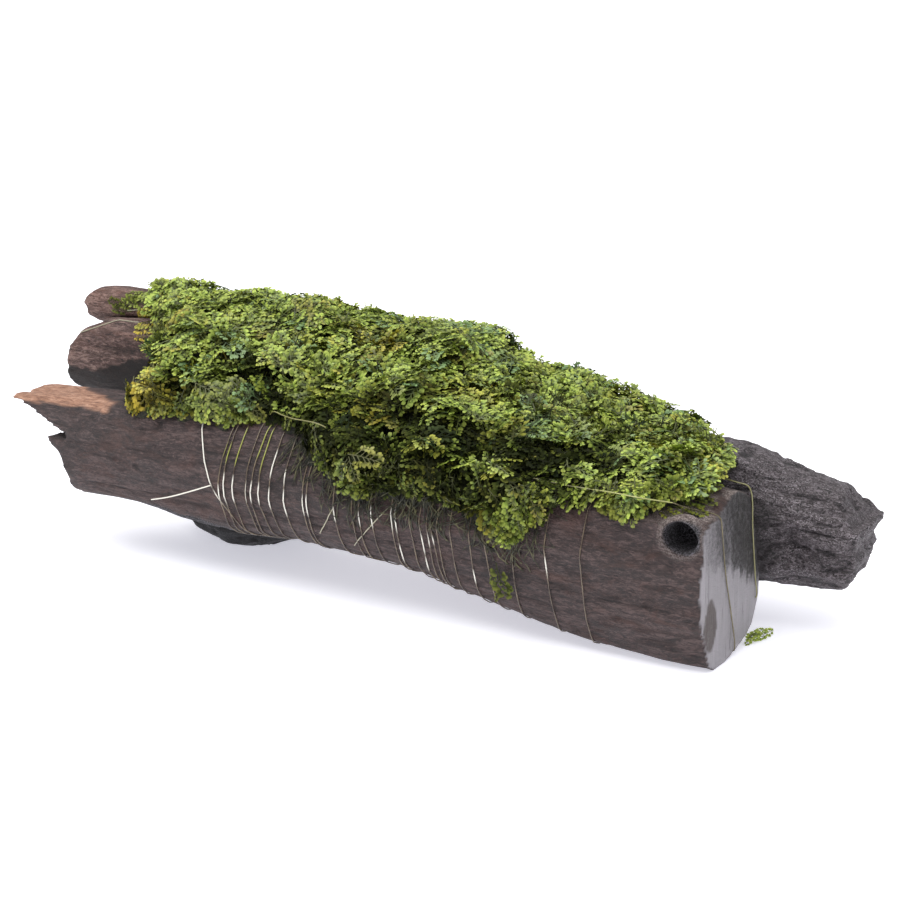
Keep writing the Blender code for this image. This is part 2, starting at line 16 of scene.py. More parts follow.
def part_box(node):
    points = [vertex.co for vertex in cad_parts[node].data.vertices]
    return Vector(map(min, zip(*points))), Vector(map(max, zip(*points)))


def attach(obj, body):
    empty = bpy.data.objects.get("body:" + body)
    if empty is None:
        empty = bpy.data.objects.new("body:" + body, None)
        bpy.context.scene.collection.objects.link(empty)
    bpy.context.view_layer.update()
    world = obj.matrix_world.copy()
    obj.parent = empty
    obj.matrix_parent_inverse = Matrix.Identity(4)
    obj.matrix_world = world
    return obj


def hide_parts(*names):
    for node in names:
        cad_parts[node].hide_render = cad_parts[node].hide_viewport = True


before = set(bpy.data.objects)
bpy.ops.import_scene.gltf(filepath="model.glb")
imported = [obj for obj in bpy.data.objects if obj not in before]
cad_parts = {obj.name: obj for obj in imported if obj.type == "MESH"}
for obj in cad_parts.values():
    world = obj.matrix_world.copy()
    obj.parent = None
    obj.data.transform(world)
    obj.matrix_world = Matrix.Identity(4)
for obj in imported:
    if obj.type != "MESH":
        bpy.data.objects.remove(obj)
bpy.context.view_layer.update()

MM = 0.001

# The camera, read off the photograph.
CAMERA_AT = (401.2, -676.0, 267.2)
CAMERA_AZIMUTH = 30.0
CAMERA_ELEVATION = 16.0
CAMERA_LENS = 104.0
CAMERA_SENSOR = 36.0

# The light: (name, from, to, size, watts), and how the backdrop and the table glow.
LIGHTS = (("overhead", (0, 0, 1300), (0, 0, 0), (2400, 2400), 16),
          ("key", (-250, -300, 900), (0, 0, 30), (900, 700), 6))
BACKDROP_COLOUR = (0.97, 0.98, 1.0, 1)
BACKDROP_STRENGTH = 0.62
TABLE_REACH = 6000.0
TABLE_GLOW = (0.9, 0.9, 1.0, 1)
TABLE_GLOW_STRENGTH = 0.55

RANDOM_SEED = 7
# A plane in front of the whole object, from which rays look for its front face.
FAR_FRONT = -90.0
# How far above the table the lowest fronds stay.
TABLE_CLEAR = 0.05

# The wood's meshes: how fine they are, and how deep their flutes and pits are.
TRUNK_VOXEL = 0.95
LIMB_VOXEL = 1.05
STUB_VOXEL = 1.0
TRUNK_WEAR = {"flutes": 0.42, "pits": 0.5, "seed": 3}
LIMB_WEAR = {"flutes": 0.75, "pits": 0.9, "seed": 13}
FOOT_WEAR = {"flutes": 1.3, "pits": 1.1, "seed": 17}
STUB_WEAR = {"flutes": 0.4, "pits": 0.4, "seed": 19}
# How dark the shade painted into the wood's furrows is, as a share of its darkest colour.
FURROW_SHADE = 0.15
SAWN_DEPTH = 1.4
SPLINTER_LOW = ((-139.8, 46.3), (-130.8, 47.6), (-121.8, 47.8), (-111.8, 48.1), (-103.8, 48.3),
                (-96.8, 48.2))
SPLINTER_BACK = ((-139.8, -6.5), (-118.8, -13), (-116.8, -19), (-106.8, -22.9), (-98.8, -27.5))
KNOT_AT = (109.0, 41.6)
KNOT_HEIGHT_SHARE = 0.88
# The knot's opening, painted dark as shade: its middle (x, z) and half widths.
KNOT_DARK_AT = (109.7, 41.7)
KNOT_DARK = (6.2, 5.2)
KNOT_LIP = 7.4
KNOT_FRONT = -24.5
# The knot's inner wall, painted dark as shade: y from and to, and below which z.
KNOT_WALL = (-39.6, -32.0, 46.0)

# Painted shade under the left nub, below these (x, z), and the notch in the limb's right end.
NUB_UNDERSIDE = ((-140, 51), (-128, 51.2), (-120, 53.2), (-112, 56), (-98, 57.5))
NOTCH_DEPTH = 3.6
FOOT_BULGE = 2.0

# Where the shade painted near black round the foot begins on the trunk's belly, as (x, z).
FOOT_TOP = ((-74.7, 20.2), (-71.9, 19.7), (-66.9, 18.4), (-61.1, 17.7), (-54.2, 16.8),
            (-48.8, 16), (-43.9, 15.5), (-37.5, 15.8))

# Marks on the sawn face, as (y, z): the edge between wet and dry wood, and the oval stain.
WET_EDGE = ((-39.4, 34), (-33.9, 32.1), (-28.3, 30.5), (-22.6, 28.8), (-16.8, 26.5), (-12.4, 24),
            (-7.9, 21.7), (-1, 18.2))
# How wet the face is above that edge, from its near side to its far one: y, share.
WET_ACROSS = ((-42, 0.12), (-34, 0.38), (-29, 0.6), (-23, 0.8), (-17, 0.94), (-11, 1.0))
OVAL_CENTRE = (-34.3, 14.8)
OVAL_HALF = (4.6, 8.0)

# The moss: sprays of bright fronds over an undergrowth and a bed of old stems, painted dark as
# shade.
SPRAYS = 1120
SPRAY_GAP = 3.5
FRONDS_PER_SPRAY = 4
FROND_LENGTH = (8.5, 13.0)
FROND_SHAPES = 10
FROND_ROUGH = 0.01
FROND_CUP = (-0.4, 1.0)
LOBE_HALF_WIDTH = 0.047
SPRIG_SPREAD = 0.32
SPRIG_LOBE = 0.095
FRONDS_PER_PIECE = 1100
SPRAY_SPREAD = 50.0
SPRAY_LIFT = (6, 40)
SPRAY_TURN = 28
CREST_LIFT = 16
UNDERGROWTH = 480
UNDERGROWTH_PER_SPOT = 3
UNDERGROWTH_LENGTH = (7.0, 11.0)
UNDERGROWTH_LIFT = (0, 18)
UNDERGROWTH_SUNK = (2.2, 4.2)
MAT_VOXEL = 2.0
# Within what distance wood over the mat keeps fronds off it.
COVER_REACH = 6.0
BED_DEPTH = 5.6
FIT_ROUNDS = 4
FIT_POINTS = ((1.0, 0.0), (0.62, 0.36), (0.62, -0.36), (0.3, 0.2), (0.3, -0.2))

# How far fronds may stand out of the solid on its sides, how much more on its crest, at most
# where the wood pushes them up, and past what they are left out.
PROUD = 0.2
CREST_PROUD = 0.7
RAISED_PROUD = 0.9
TOO_PROUD = 1.6
# The least gaps between a frond's middle and the wood, where it is sunk in the mat and where not.
SUNK_GAP = 0.9
LEAST_GAP = 0.4

# How wide its tufts are, and how deep under its outside its painted shade turns darkest.
TUFT_SIZE = 9.5
SHADE_DEPTH = 5.6

# Where painted shade is darkest under its crest, and where painted light is, as places on its
# outside.
PAINTED_SHADE_BELT = ((-39, -34, 57), (-30, -33, 61), (-18, -37, 61), (-9, -39, 61), (5, -40, 60),
             (20, -33, 60), (34, -30, 59), (48, -32, 59), (62, -28, 58), (75, -25, 58))
BELT_REACH = 10.0
PAINTED_SHADE_PLACES = ((-60.7, -12.3, 74), (-50.3, -19.7, 71), (14, -19, 68.5), (12, -26, 66.5),
               (3, -28, 66.5), (-3, -29, 67), (71, -41, 47.6), (70, -17, 58.5), (40, -38, 55))
DARK_REACH = 8.0
PAINTED_LIGHT_PLACES = ((-95, 18.6, 79), (-98, 6, 77), (-38, -2.5, 75.6), (-57, -35, 60.7), (-86, -36, 50),
                (94, -4.5, 59), (92, -14, 59.5), (98, -0.4, 59), (83, 21, 58))
LIGHT_REACH = 11.0
# The cavity between nub and splinter, shown as painted shade: up to x, y from and to, above z.
CAVITY = (-83, -33, -10, 56.5)
# How many of the sprays are blue-green, a real tint that also stands for painted wet sheen.
BLUISH_SHARE = 0.035

# Fronds that creep over the upper stub, the left nub and the trunk's top behind the knot: where
# each starts, where it ends, how much shade is painted on it, and how ochre it is.
CREEPERS = (
    (-122.5, 14.2, 69.4, -130.5, 14.2, 70.2, 0.4, 0.1),
    (-119, 14.2, 70.8, -127.3, 14.2, 72.6, 0.4, 0.1),
    (-121.5, 14.6, 71.8, -129.5, 14.6, 72.6, 0.3, 0.1),
    (-117.5, 15.5, 73, -126, 15.5, 74.2, 0.3, 0.1),
    (-118.5, 18, 74.6, -126.5, 18, 75.4, 0.4, 0.1),
    (-114.5, 15, 71.5, -122.5, 15, 74, 0.3, 0.1),
    (-115.5, 17.5, 74.2, -123.5, 17.5, 74.2, 0.2, 0.1),
    (-112.5, 14.5, 69.6, -120, 14.5, 68.8, 0.1, 0.8),
    (-113.5, 14.5, 71, -119.5, 14.5, 69.6, 0.1, 0.8),
    (-125.5, 14.6, 70.8, -132, 14.6, 72, 0.5, 0.1),
    (-113, 19.5, 75, -121, 19.5, 76, 0.3, 0.1),
    (-105.5, 6, 67.5, -114, 5.5, 67, 0.1, 0.9),
    (-104.5, 4, 65.5, -112.5, 3.5, 64.5, 0.1, 0.9),
    (-106, 8, 69, -115, 8, 68.5, 0.2, 0.5),
    (-103.5, 3, 63, -110.5, 3, 62, 0.3, 0.3),
    (99.5, -28, 49.5, 107, -30.5, 47.5, 0.3, 0.1),
    (101, -31.5, 48, 108.5, -33.5, 46.5, 0.4, 0.2),
    (103.5, -27, 49.5, 111, -28, 48, 0.3, 0),
    (105.5, -30.5, 48, 113, -31.5, 47, 0.5, 0.2),
    (103, -24, 50, 110.5, -23.5, 49.5, 0.2, 0.1),
    (107, -26, 49, 114, -27.5, 48.5, 0.4, 0.1),
    (105, -20, 50, 112, -19, 50, 0.3, 0.1),
    (100, -34, 46.5, 105.5, -37, 45.5, 0.4, 0.3),
)

# Old stems that hug the wood under the mat's front edge: how many, and where along x.
OLD_STEMS = 340
OLD_STEMS_FROM = -24.0
OLD_STEMS_TO = 66.0
STEM_STEPS = 7

# How a stem runs: its heading in degrees, 0 along x and -90 down, and how much that varies; the
# length of its steps; how far it arches off the wood; half its width.
STEM_HEADING = (-90, 36)
STEM_STEP = (0.9, 2.0)
STEM_ARCH = (0.1, 1.1)
STEM_HALF_WIDTH = (0.1, 0.2)

# The mat's lower edge on the front, as (x, z).
FRONT_EDGE = ((-123.6, 52), (-91.6, 49.5), (-64.6, 50), (-48.6, 51), (-33.6, 54), (-24.6, 51.5),
              (-19.6, 46), (-6.6, 41), (2.4, 36), (16.4, 38.5), (35.4, 38), (50.4, 34.5),
              (58.4, 29), (64.4, 37), (74.4, 45), (84.4, 46), (92.4, 42.5), (98.4, 45),
              (104.4, 50.5), (115.4, 50.5))

# The tying line: its size and how far off the wood it runs, and where each turn crosses the
# front, along x.
LINE_RADIUS = 0.2
LINE_CLEAR = 0.3
LINE_FRONT = -24
GLINT_REACH = 1.4
LINE_TURNS = (-50.6, -48.1, -46.1, -42.6, -37.6, -35.6, -32.6, -28.6, -23.1, -16.1, -14.6, -4.6,
              1.9, 4.4, 8.9, 15.9, 17.4, 22.4, 25.9, 28.4, 29.9, 31.9, 36.4, 42.9, 47.9, 56.9,
              67.9, 79.4)
LINE_FIRST_LEAN = -0.5
# Where a highlight is painted on it and where it is yellow-green on the front, as (x, z from, z
# to).
LINE_GLINTS = ((-48.1, 28.8, 33.7), (-46.2, 28.8, 37.5), (-42.8, 29, 36.8), (-36.1, 30.6, 36.1),
               (-32.7, 30.5, 36.7), (-28.5, 29.2, 35.7), (-23.4, 27.8, 36.5), (-14.8, 30.4, 36.2),
               (-4.7, 30.1, 34.2), (4.2, 30.2, 32.8), (8.8, 29.7, 36.3), (17.2, 29.7, 36.3),
               (17.6, 19.9, 25.2), (25.6, 24.2, 30.5), (25.6, 17.8, 21.6), (29.7, 27.7, 29.9),
               (36.5, 42.2, 45.9), (42.7, 17.6, 21.3), (67.7, 25, 30.5), (-28.4, 39.5, 46.5),
               (-23.1, 39, 41.5), (-51.9, 34, 37.5),
               (-53.6, 37, 41), (-55.4, 40.5, 44.5), (-57.2, 44, 48), (-59, 47.5, 52))
LINE_YELLOWS = ((-42.4, 41.5, 51), (-35.6, 44, 53), (-32.6, 41.5, 52), (-46.1, 41, 46))
# Its loose and lengthwise stretches, (x, y, z), and how much each has a painted highlight and is
# yellow.
LINE_TAIL = (((-73.6, -42.5, 25.5), (-65.6, -44.1, 28), (-57.6, -44.4, 31),
              (-50.7, -42.4, 33.6)), 0.9, 0.2)
LINE_PASSES = (
    (((59.5, -35.4, 50.6), (68.8, -35.8, 50.2), (79.4, -37.6, 50.8)), 0.1, 0.5),
    (((79.4, -37.6, 50.8), (88, -40.6, 51.9), (96.3, -41.6, 52), (104.4, -36, 50.2)),
     0.08, 1),
    (((104.4, -36, 50.2), (107.5, -31.2, 47.6), (112.2, -30.2, 47.2), (116.3, -29.8, 46),
      (116.9, -29.2, 42), (116.8, -25.6, 28), (116.8, -21, 15), (116.8, -17.5, 3),
      (114.2, -17.3, 2), (100.2, -15.5, 5)), 0, 0.15),
    (((84.2, -9.5, 52.6), (100.2, -9.5, 51.6), (112.2, -9.5, 50.6), (116.7, -9.1, 48.6),
      (116.8, -7, 36), (116.8, -4, 21), (116.8, -2.5, 14.2), (114.2, -1.9, 14),
      (104.2, -1.5, 17)), 0.04, 0.5),
    (((-34.5, -32.4, 56.4), (-31.8, -34.3, 58.1), (-26.8, -36.5, 58), (-20.9, -39.9, 58.6),
      (-17, -40.6, 58.8), (-10.8, -42.6, 59.2), (-8, -42, 58.2)), 0, 0.45),
)
# Stretches that lie on the front or on the left nub, (x, z).
LINE_SLANTS = (((-12, 23.5), (-4.7, 33.6)), ((-0.2, 21.3), (16.2, 38.1)),
               ((-135.8, 62.8), (-123.8, 67.5), (-114.8, 67.7)),
               ((-123.8, 69.6), (-113.8, 71.4), (-106.8, 71)))


def rgba(colour):
    """A shader's colour from one of 3 numbers, 0 to 255 as on a screen, or from its own 4."""
    if len(colour) == 4:
        return colour
    return (*(v / 255 / 12.92 if v <= 10 else ((v / 255 + 0.055) / 1.055) ** 2.4
              for v in colour), 1)


# Repeatable noise on whole arrays of points.

def lattice(cells, seed):
    """A repeatable number from -1 to 1 for each cell of whole numbers."""
    x, y, z = (cells[..., k].astype(np.int64).astype(np.uint32) for k in range(3))
    mixed = x * np.uint32(374761393) + y * np.uint32(668265263) + z * np.uint32(2246822519)
    mixed = mixed + np.uint32(seed * 974711 % 4294967291)
    mixed = (mixed ^ (mixed >> np.uint32(13))) * np.uint32(1274126177)
    mixed = mixed ^ (mixed >> np.uint32(16))
    return mixed / 2147483647.5 - 1.0


def smooth_noise(points, seed):
    """Smooth noise from -1 to 1 with lumps about one unit wide."""
    cells = np.floor(points)
    share = points - cells
    share = share * share * (3 - 2 * share)
    total = np.zeros(len(points))
    for corner in range(8):
        step = np.array([corner & 1, corner >> 1 & 1, corner >> 2 & 1])
        weight = np.prod(np.where(step, share, 1 - share), axis=1)
        total += weight * lattice(cells + step, seed)
    return total


def layered_noise(points, seed, layers=3):
    total = np.zeros(len(points))
    for k in range(layers):
        total += 0.5**k * smooth_noise(points * 2**k, seed + 31 * k)
    return total


def size_of(vectors):
    return np.linalg.norm(vectors, axis=-1)


def ramp(values, low, high):
    """0 below low, 1 above high, smooth between."""
    share = np.clip((values - low) / (high - low), 0, 1)
    return share * share * (3 - 2 * share)


def fall(values, low, high):
    """1 below low, 0 above high, smooth between."""
    return 1 - ramp(values, low, high)


def curve(values, corners):
    """The height at each value of the line through corners given as (value, height)."""
    return np.interp(values, *np.array(corners, float).T)


# Meshes.

def points_of(mesh):
    flat = np.empty(3 * len(mesh.vertices), np.float32)
    mesh.vertices.foreach_get("co", flat)
    return flat.reshape(-1, 3).astype(float) / MM


def faces_of(mesh):
    """The mesh's faces as rows of corner numbers, all with as many corners as the first."""
    flat = np.empty(len(mesh.loops), np.int32)
    mesh.loops.foreach_get("vertex_index", flat)
    return flat.reshape(len(mesh.polygons), -1)


def make_piece(name, points, faces, look, slot, **marks):
    """A piece of the visual model from points in millimetres, which rides on the part.

    marks are numbers or colours for each point, for the piece's material to read.
    """
    mesh = bpy.data.meshes.new(name)
    count, corners = faces.shape
    mesh.vertices.add(len(points))
    mesh.vertices.foreach_set("co", (points * MM).astype(np.float32).ravel())
    mesh.loops.add(count * corners)
    mesh.loops.foreach_set("vertex_index", faces.astype(np.int32).ravel())
    mesh.polygons.add(count)
    mesh.polygons.foreach_set("loop_start", np.arange(0, count * corners, corners, dtype=np.int32))
    mesh.polygons.foreach_set("use_smooth", np.ones(count, bool))
    mesh.update(calc_edges=True)
    mesh.materials.append(look)
    for mark, values in marks.items():
        values = np.asarray(values, np.float32)
        kind, key = ("FLOAT", "value") if values.ndim == 1 else ("FLOAT_COLOR", "color")
        mesh.attributes.new(mark, kind, "POINT").data.foreach_set(key, values.ravel())
    piece = placed(name, mesh)
    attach(piece, "root")
    return piece


def placed(name, data):
    made = bpy.data.objects.new(name, data)
    bpy.context.scene.collection.objects.link(made)
    return made


def remeshed(node, voxel):
    """The points and square faces of an even copy of a CAD node."""
    copy = placed("copy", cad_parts[node].data.copy())
    change = copy.modifiers.new("even", "REMESH")
    change.mode = "VOXEL"
    change.voxel_size = voxel * MM
    graph = bpy.context.evaluated_depsgraph_get()
    mesh = bpy.data.meshes.new_from_object(copy.evaluated_get(graph))
    found = points_of(mesh), faces_of(mesh)
    data = copy.data
    bpy.data.objects.remove(copy)
    bpy.data.meshes.remove(data)
    bpy.data.meshes.remove(mesh)
    return found


def normals_of(points, faces):
    a, b, c, d = (points[faces[:, k]] for k in range(4))
    across = np.cross(c - a, d - b)
    total = np.zeros_like(points)
    for k in range(4):
        for axis in range(3):
            total[:, axis] += np.bincount(faces[:, k], across[:, axis], len(points))
    return total / np.maximum(np.linalg.norm(total, axis=1, keepdims=True), 1e-9)


def relaxed(points, faces, weight, rounds):
    """The points drawn towards their neighbours' middle, each by its own weight."""
    pairs = np.concatenate([faces[:, [k, (k + 1) % 4]] for k in range(4)])
    counts = np.bincount(pairs[:, 0], minlength=len(points)) + 0.0
    for _ in range(rounds):
        middle = np.stack([
            np.bincount(pairs[:, 0], points[pairs[:, 1], axis], len(points)) / counts
            for axis in range(3)
        ], axis=1)
        points = points + (middle - points) * weight[:, None]
    return points


def tree_of(points, faces):
    return BVHTree.FromPolygons([Vector(p) for p in points], [tuple(f) for f in faces])


# Materials.

class Look:
    """A material under construction: its nodes are made and joined by the calls below."""

    def __init__(self, name):
        self.material = bpy.data.materials.new(name)
        self.material.use_nodes = True
        self.tree = self.material.node_tree
        self.shader = self.tree.nodes["Principled BSDF"]

    def node(self, kind, **settings):
        made = self.tree.nodes.new(kind)
        for key, value in settings.items():
            setattr(made, key, value)
        return made

    def join(self, source, target):
        self.tree.links.new(source, target)

    def place(self, stretch=(1, 1, 1)):
        """Places on the object in metres, squeezed along each axis."""
        coordinates = self.node("ShaderNodeTexCoord")
        mapping = self.node("ShaderNodeMapping")
        mapping.inputs["Scale"].default_value = stretch
        self.join(coordinates.outputs["Object"], mapping.inputs["Vector"])
        return mapping.outputs["Vector"]

    def noise(self, scale, detail=3.0, roughness=0.55, stretch=(1, 1, 1), twist=0.0):
        made = self.node("ShaderNodeTexNoise")
        made.inputs["Scale"].default_value = scale
        made.inputs["Detail"].default_value = detail
        made.inputs["Roughness"].default_value = roughness
        made.inputs["Distortion"].default_value = twist
        self.join(self.place(stretch), made.inputs["Vector"])
        return made.outputs["Fac"]

    def attribute(self, name):
        return self.node("ShaderNodeAttribute", attribute_name=name).outputs["Fac"]

    def give(self, value, socket):
        """Sets a socket to a number or a colour, or joins it to another node's output."""
        if isinstance(value, (int, float)):
            socket.default_value = value
        elif isinstance(value, tuple):
            socket.default_value = rgba(value)
        else:
            self.join(value, socket)

    def math(self, operation, a, b):
        made = self.node("ShaderNodeMath", operation=operation)
        self.give(a, made.inputs[0])
        self.give(b, made.inputs[1])
        return made.outputs[0]

    def times(self, a, b):
        return self.math("MULTIPLY", a, b)

    def plus(self, a, b):
        return self.math("ADD", a, b)

    def spread(self, value, low, high, to_low=0.0, to_high=1.0):
        """value from low to high stretched smoothly over to_low to to_high."""
        made = self.node("ShaderNodeMapRange", interpolation_type="SMOOTHSTEP")
        self.join(value, made.inputs["Value"])
        for name, number in (("From Min", low), ("From Max", high), ("To Min", to_low),
                             ("To Max", to_high)):
            made.inputs[name].default_value = number
        return made.outputs["Result"]

    def colours(self, value, *stops):
        """A colour for each value, from stops of a place and the colour's numbers."""
        made = self.node("ShaderNodeValToRGB")
        band = made.color_ramp
        while len(band.elements) < len(stops):
            band.elements.new(0.5)
        for element, (place, *colour) in zip(band.elements, stops):
            element.position = place
            element.color = rgba(tuple(colour))
        self.join(value, made.inputs["Fac"])
        return made.outputs["Color"]

    def mix(self, share, a, b):
        made = self.node("ShaderNodeMix", data_type="RGBA")
        for socket, value in zip((made.inputs["Factor"], *made.inputs[6:8]), (share, a, b)):
            self.give(value, socket)
        return made.outputs[2]

    def bump(self, height, strength, distance, under=None):
        made = self.node("ShaderNodeBump")
        made.inputs["Strength"].default_value = strength
        made.inputs["Distance"].default_value = distance * MM
        self.join(height, made.inputs["Height"])
        if under is not None:
            self.join(under, made.inputs["Normal"])
        return made.outputs["Normal"]

    def finish(self, colour, roughness, normal=None, **plain):
        self.join(colour, self.shader.inputs["Base Color"])
        if isinstance(roughness, float):
            self.shader.inputs["Roughness"].default_value = roughness
        else:
            self.join(roughness, self.shader.inputs["Roughness"])
        if normal is not None:
            self.join(normal, self.shader.inputs["Normal"])
        for name, value in plain.items():
            self.shader.inputs[name.replace("_", " ")].default_value = value
        return self.material


def wood_look(name, dark, middle, light, rust, wet, bump, crease_shade):
    """Damp weathered wood with its grain along X.

    rust is the colour of its stains, wet how much of it glistens, bump how rough it feels, and
    its last argument how dark the shade painted into its furrows is.
    """
    look = Look(name)
    broad = look.noise(55, 4, 0.6, (0.4, 1, 1), 0.6)
    streaks = look.noise(430, 5, 0.7, (0.22, 1, 1), 1.2)
    fine = look.noise(1250, 4, 0.75, (0.3, 1, 1), 1.2)
    grit = look.noise(2400, 2, 0.5, (0.55, 1, 1))

    tone = look.plus(look.times(broad, 0.16), look.times(streaks, 0.32))
    tone = look.plus(tone, look.times(fine, 0.52))
    colour = look.colours(tone, (0.42, *dark), (0.5, *middle), (0.57, *light))
    rusty = look.spread(look.noise(90, 4, 0.7, (0.5, 1, 1), 1.0), 0.5, 0.7, 0.0, 0.45)
    colour = look.mix(rusty, colour, rust)
    chalk = look.times(look.spread(grit, 0.6, 0.7),
                       look.spread(broad, 0.4, 0.6, 0.15, 0.45))
    colour = look.mix(chalk, colour, light)
    # Painted shade: the furrows are darkened towards near black.
    furrow = look.attribute("furrow")
    colour = look.mix(look.spread(furrow, 0.0, 1.0, 0.0, crease_shade), colour,
                      (*(FURROW_SHADE * c for c in rgba(dark)[:3]), 1))

    gloss = look.plus(look.times(broad, 0.5), look.times(fine, 0.5))
    roughness = look.spread(gloss, 0.38, 0.62, 0.8 - 0.42 * wet, 0.86)
    height = look.plus(look.times(streaks, 0.9), look.times(fine, 0.9))
    height = look.plus(height, look.times(grit, 0.3))
    normal = look.bump(height, bump, 1.2)
    return look, colour, roughness, normal


def trunk_look():
    look, colour, roughness, normal = wood_look(
        "driftwood_trunk", (33, 25, 25), (61, 48, 47), (94, 78, 76), (84, 55, 46),
        0.6, 0.85, 0.5)
    fibres = look.noise(1250, 4, 0.75, (0.2, 1, 1), 0.8)
    pores = look.noise(2300, 2, 0.5)
    bare = look.colours(look.times(look.plus(fibres, pores), 0.5),
                        (0.42, 62, 50, 47), (0.5, 122, 108, 103),
                        (0.58, 172, 160, 155))
    colour = look.mix(look.attribute("bare"), colour, bare)
    fresh = look.colours(fibres, (0.35, 120, 84, 66), (0.5, 168, 124, 100),
                         (0.65, 200, 158, 134))
    colour = look.mix(look.attribute("pale"), colour, fresh)
    # Painted shade in the knot's opening and on the belly round the foot.
    painted_hole_shade = look.colours(pores, (0.46, 12, 11, 12), (0.6, 96, 92, 98))
    colour = look.mix(look.attribute("hole"), colour, painted_hole_shade)
    sawn = look.attribute("sawn")
    wet = look.attribute("wet")
    stain = look.attribute("stain")
    marks = look.noise(900, 3, 0.6, (1, 1, 0.06))
    # Pale grey, partly the sawn wood's own and partly a painted reflection of the table.
    dry = look.colours(marks, (0.3, 143, 138, 142), (0.7, 175, 170, 175))
    soaked = look.colours(marks, (0.35, 19, 17, 16), (0.65, 42, 38, 37))
    dotted = look.spread(look.noise(900, 4, 0.75), 0.4, 0.6)
    share = look.plus(wet, look.times(look.math("SUBTRACT", dotted, 0.5), 0.35))
    share = look.times(share, look.spread(wet, 0.0, 0.15))
    cut = look.mix(share, dry, soaked)
    cut = look.mix(stain, cut, (80, 68, 65))
    colour = look.mix(sawn, colour, cut)
    shine = look.spread(marks, 0.3, 0.7, 0.26, 0.46)
    roughness = look.mix(sawn, roughness, shine)
    return look.finish(colour, roughness, normal)


def limb_look():
    """Brown at its left nub, and nearer charcoal with painted wet glints at its right end."""
    look, colour, roughness, normal = wood_look(
        "driftwood_limb", (56, 42, 40), (106, 81, 75), (160, 133, 124), (112, 74, 60),
        0.3, 0.9, 0.92)
    burr = look.noise(1500, 4, 0.75, (0.45, 1, 1), 1.2)
    grit = look.noise(2700, 2, 0.6, (0.7, 1, 1))
    char = look.colours(burr, (0.38, 28, 24, 25), (0.5, 82, 73, 75),
                        (0.6, 150, 141, 146))
    # Painted highlight: pale specks where wet wood would glint.
    glints = look.times(look.spread(grit, 0.58, 0.66),
                        look.spread(look.noise(140, 3, 0.6, (0.4, 1, 1)), 0.4, 0.62))
    char = look.mix(look.times(glints, 0.85), char, (205, 196, 202))
    # Painted shade: the furrows and the shaded places under the limb go near black.
    char = look.mix(look.spread(look.attribute("furrow"), 0.0, 1.0, 0.0, 0.75), char,
                    (10, 8, 9))
    charred = look.attribute("charred")
    colour = look.mix(charred, colour, char)
    roughness = look.mix(charred, roughness, look.spread(burr, 0.35, 0.65, 0.34, 0.75))
    height = look.plus(burr, look.times(grit, 0.5))
    return look.finish(colour, roughness, look.bump(height, 0.75, 1.2, normal))


def foot_shade_look():
    # The foot sits in shade under the trunk: its wood is painted near black as that shade.
    look, *outputs = wood_look("driftwood_foot_shaded", (7, 6, 6), (13, 11, 11), (26, 22, 23),
                               (16, 12, 12), 0.9, 0.7, 0.9)
    return look.finish(*outputs)


def stub_look():
    look, *outputs = wood_look("driftwood_stub", (54, 38, 34), (102, 76, 68), (152, 124, 114),
                               (120, 80, 66), 0.3, 0.8, 0.9)
    return look.finish(*outputs)


def frond_look():
    look = Look("moss_fronds")
    growth = look.node("ShaderNodeAttribute", attribute_name="growth")
    parts = look.node("ShaderNodeSeparateColor")
    look.join(growth.outputs["Color"], parts.inputs["Color"])
    tip, hue, ochre = parts.outputs
    depth = look.attribute("depth")
    mottle = look.noise(420, 3, 0.6)

    young = look.colours(tip, (0.0, 100, 106, 64), (0.4, 96, 112, 40),
                         (0.75, 136, 160, 56), (1.0, 184, 202, 90))
    old = look.colours(tip, (0.0, 82, 84, 56), (0.45, 58, 68, 28),
                       (0.8, 94, 108, 44), (1.0, 134, 144, 68))
    # Blue-green fronds: partly a real tint and partly painted wet sheen.
    bluish = look.colours(tip, (0.0, 86, 102, 80), (0.5, 86, 112, 68),
                          (1.0, 134, 166, 106))
    golden = look.colours(tip, (0.0, 104, 98, 50), (0.5, 138, 118, 34),
                          (1.0, 204, 178, 56))
    colour = look.mix(look.spread(hue, 0.15, 0.75), old, young)
    colour = look.mix(look.spread(hue, 0.9, 0.96), colour, bluish)
    colour = look.mix(ochre, colour, golden)
    colour = look.mix(look.spread(mottle, 0.35, 0.65, 0.35, 0.0), colour, (52, 64, 28))
    # Painted shade: the deeper in the mat, the nearer black.
    colour = look.mix(look.spread(depth, 0.0, 1.0, 0.0, 0.96), colour, (12, 15, 6))
    roughness = look.spread(mottle, 0.35, 0.65, 0.36, 0.6)
    look.join(look.spread(depth, 0.0, 0.7, 0.42, 0.04), look.shader.inputs["Specular IOR Level"])
    return look.finish(colour, roughness)


def bed_look():
    """The tangle of old stems under the fronds, painted dark as the shade inside the mat."""
    look = Look("moss_bed")
    tangle = look.noise(420, 5, 0.7, (1, 1, 1), 2.0)
    broad = look.noise(90, 3, 0.6)
    colour = look.colours(tangle, (0.38, 11, 12, 7), (0.52, 36, 38, 20),
                          (0.66, 80, 78, 46))
    colour = look.mix(look.spread(broad, 0.45, 0.65, 0.0, 0.5), colour, (28, 22, 14))
    return look.finish(colour, 0.7, look.bump(tangle, 0.9, 2.0))


def stem_look():
    look = Look("moss_stems")
    tone = look.noise(380, 2, 0.5)
    colour = look.colours(tone, (0.36, 34, 34, 20), (0.5, 62, 62, 38),
                          (0.64, 104, 100, 66))
    # Painted shade, by each stem's own amount.
    colour = look.mix(look.attribute("depth"), colour, (20, 20, 12))
    return look.finish(colour, 0.5)


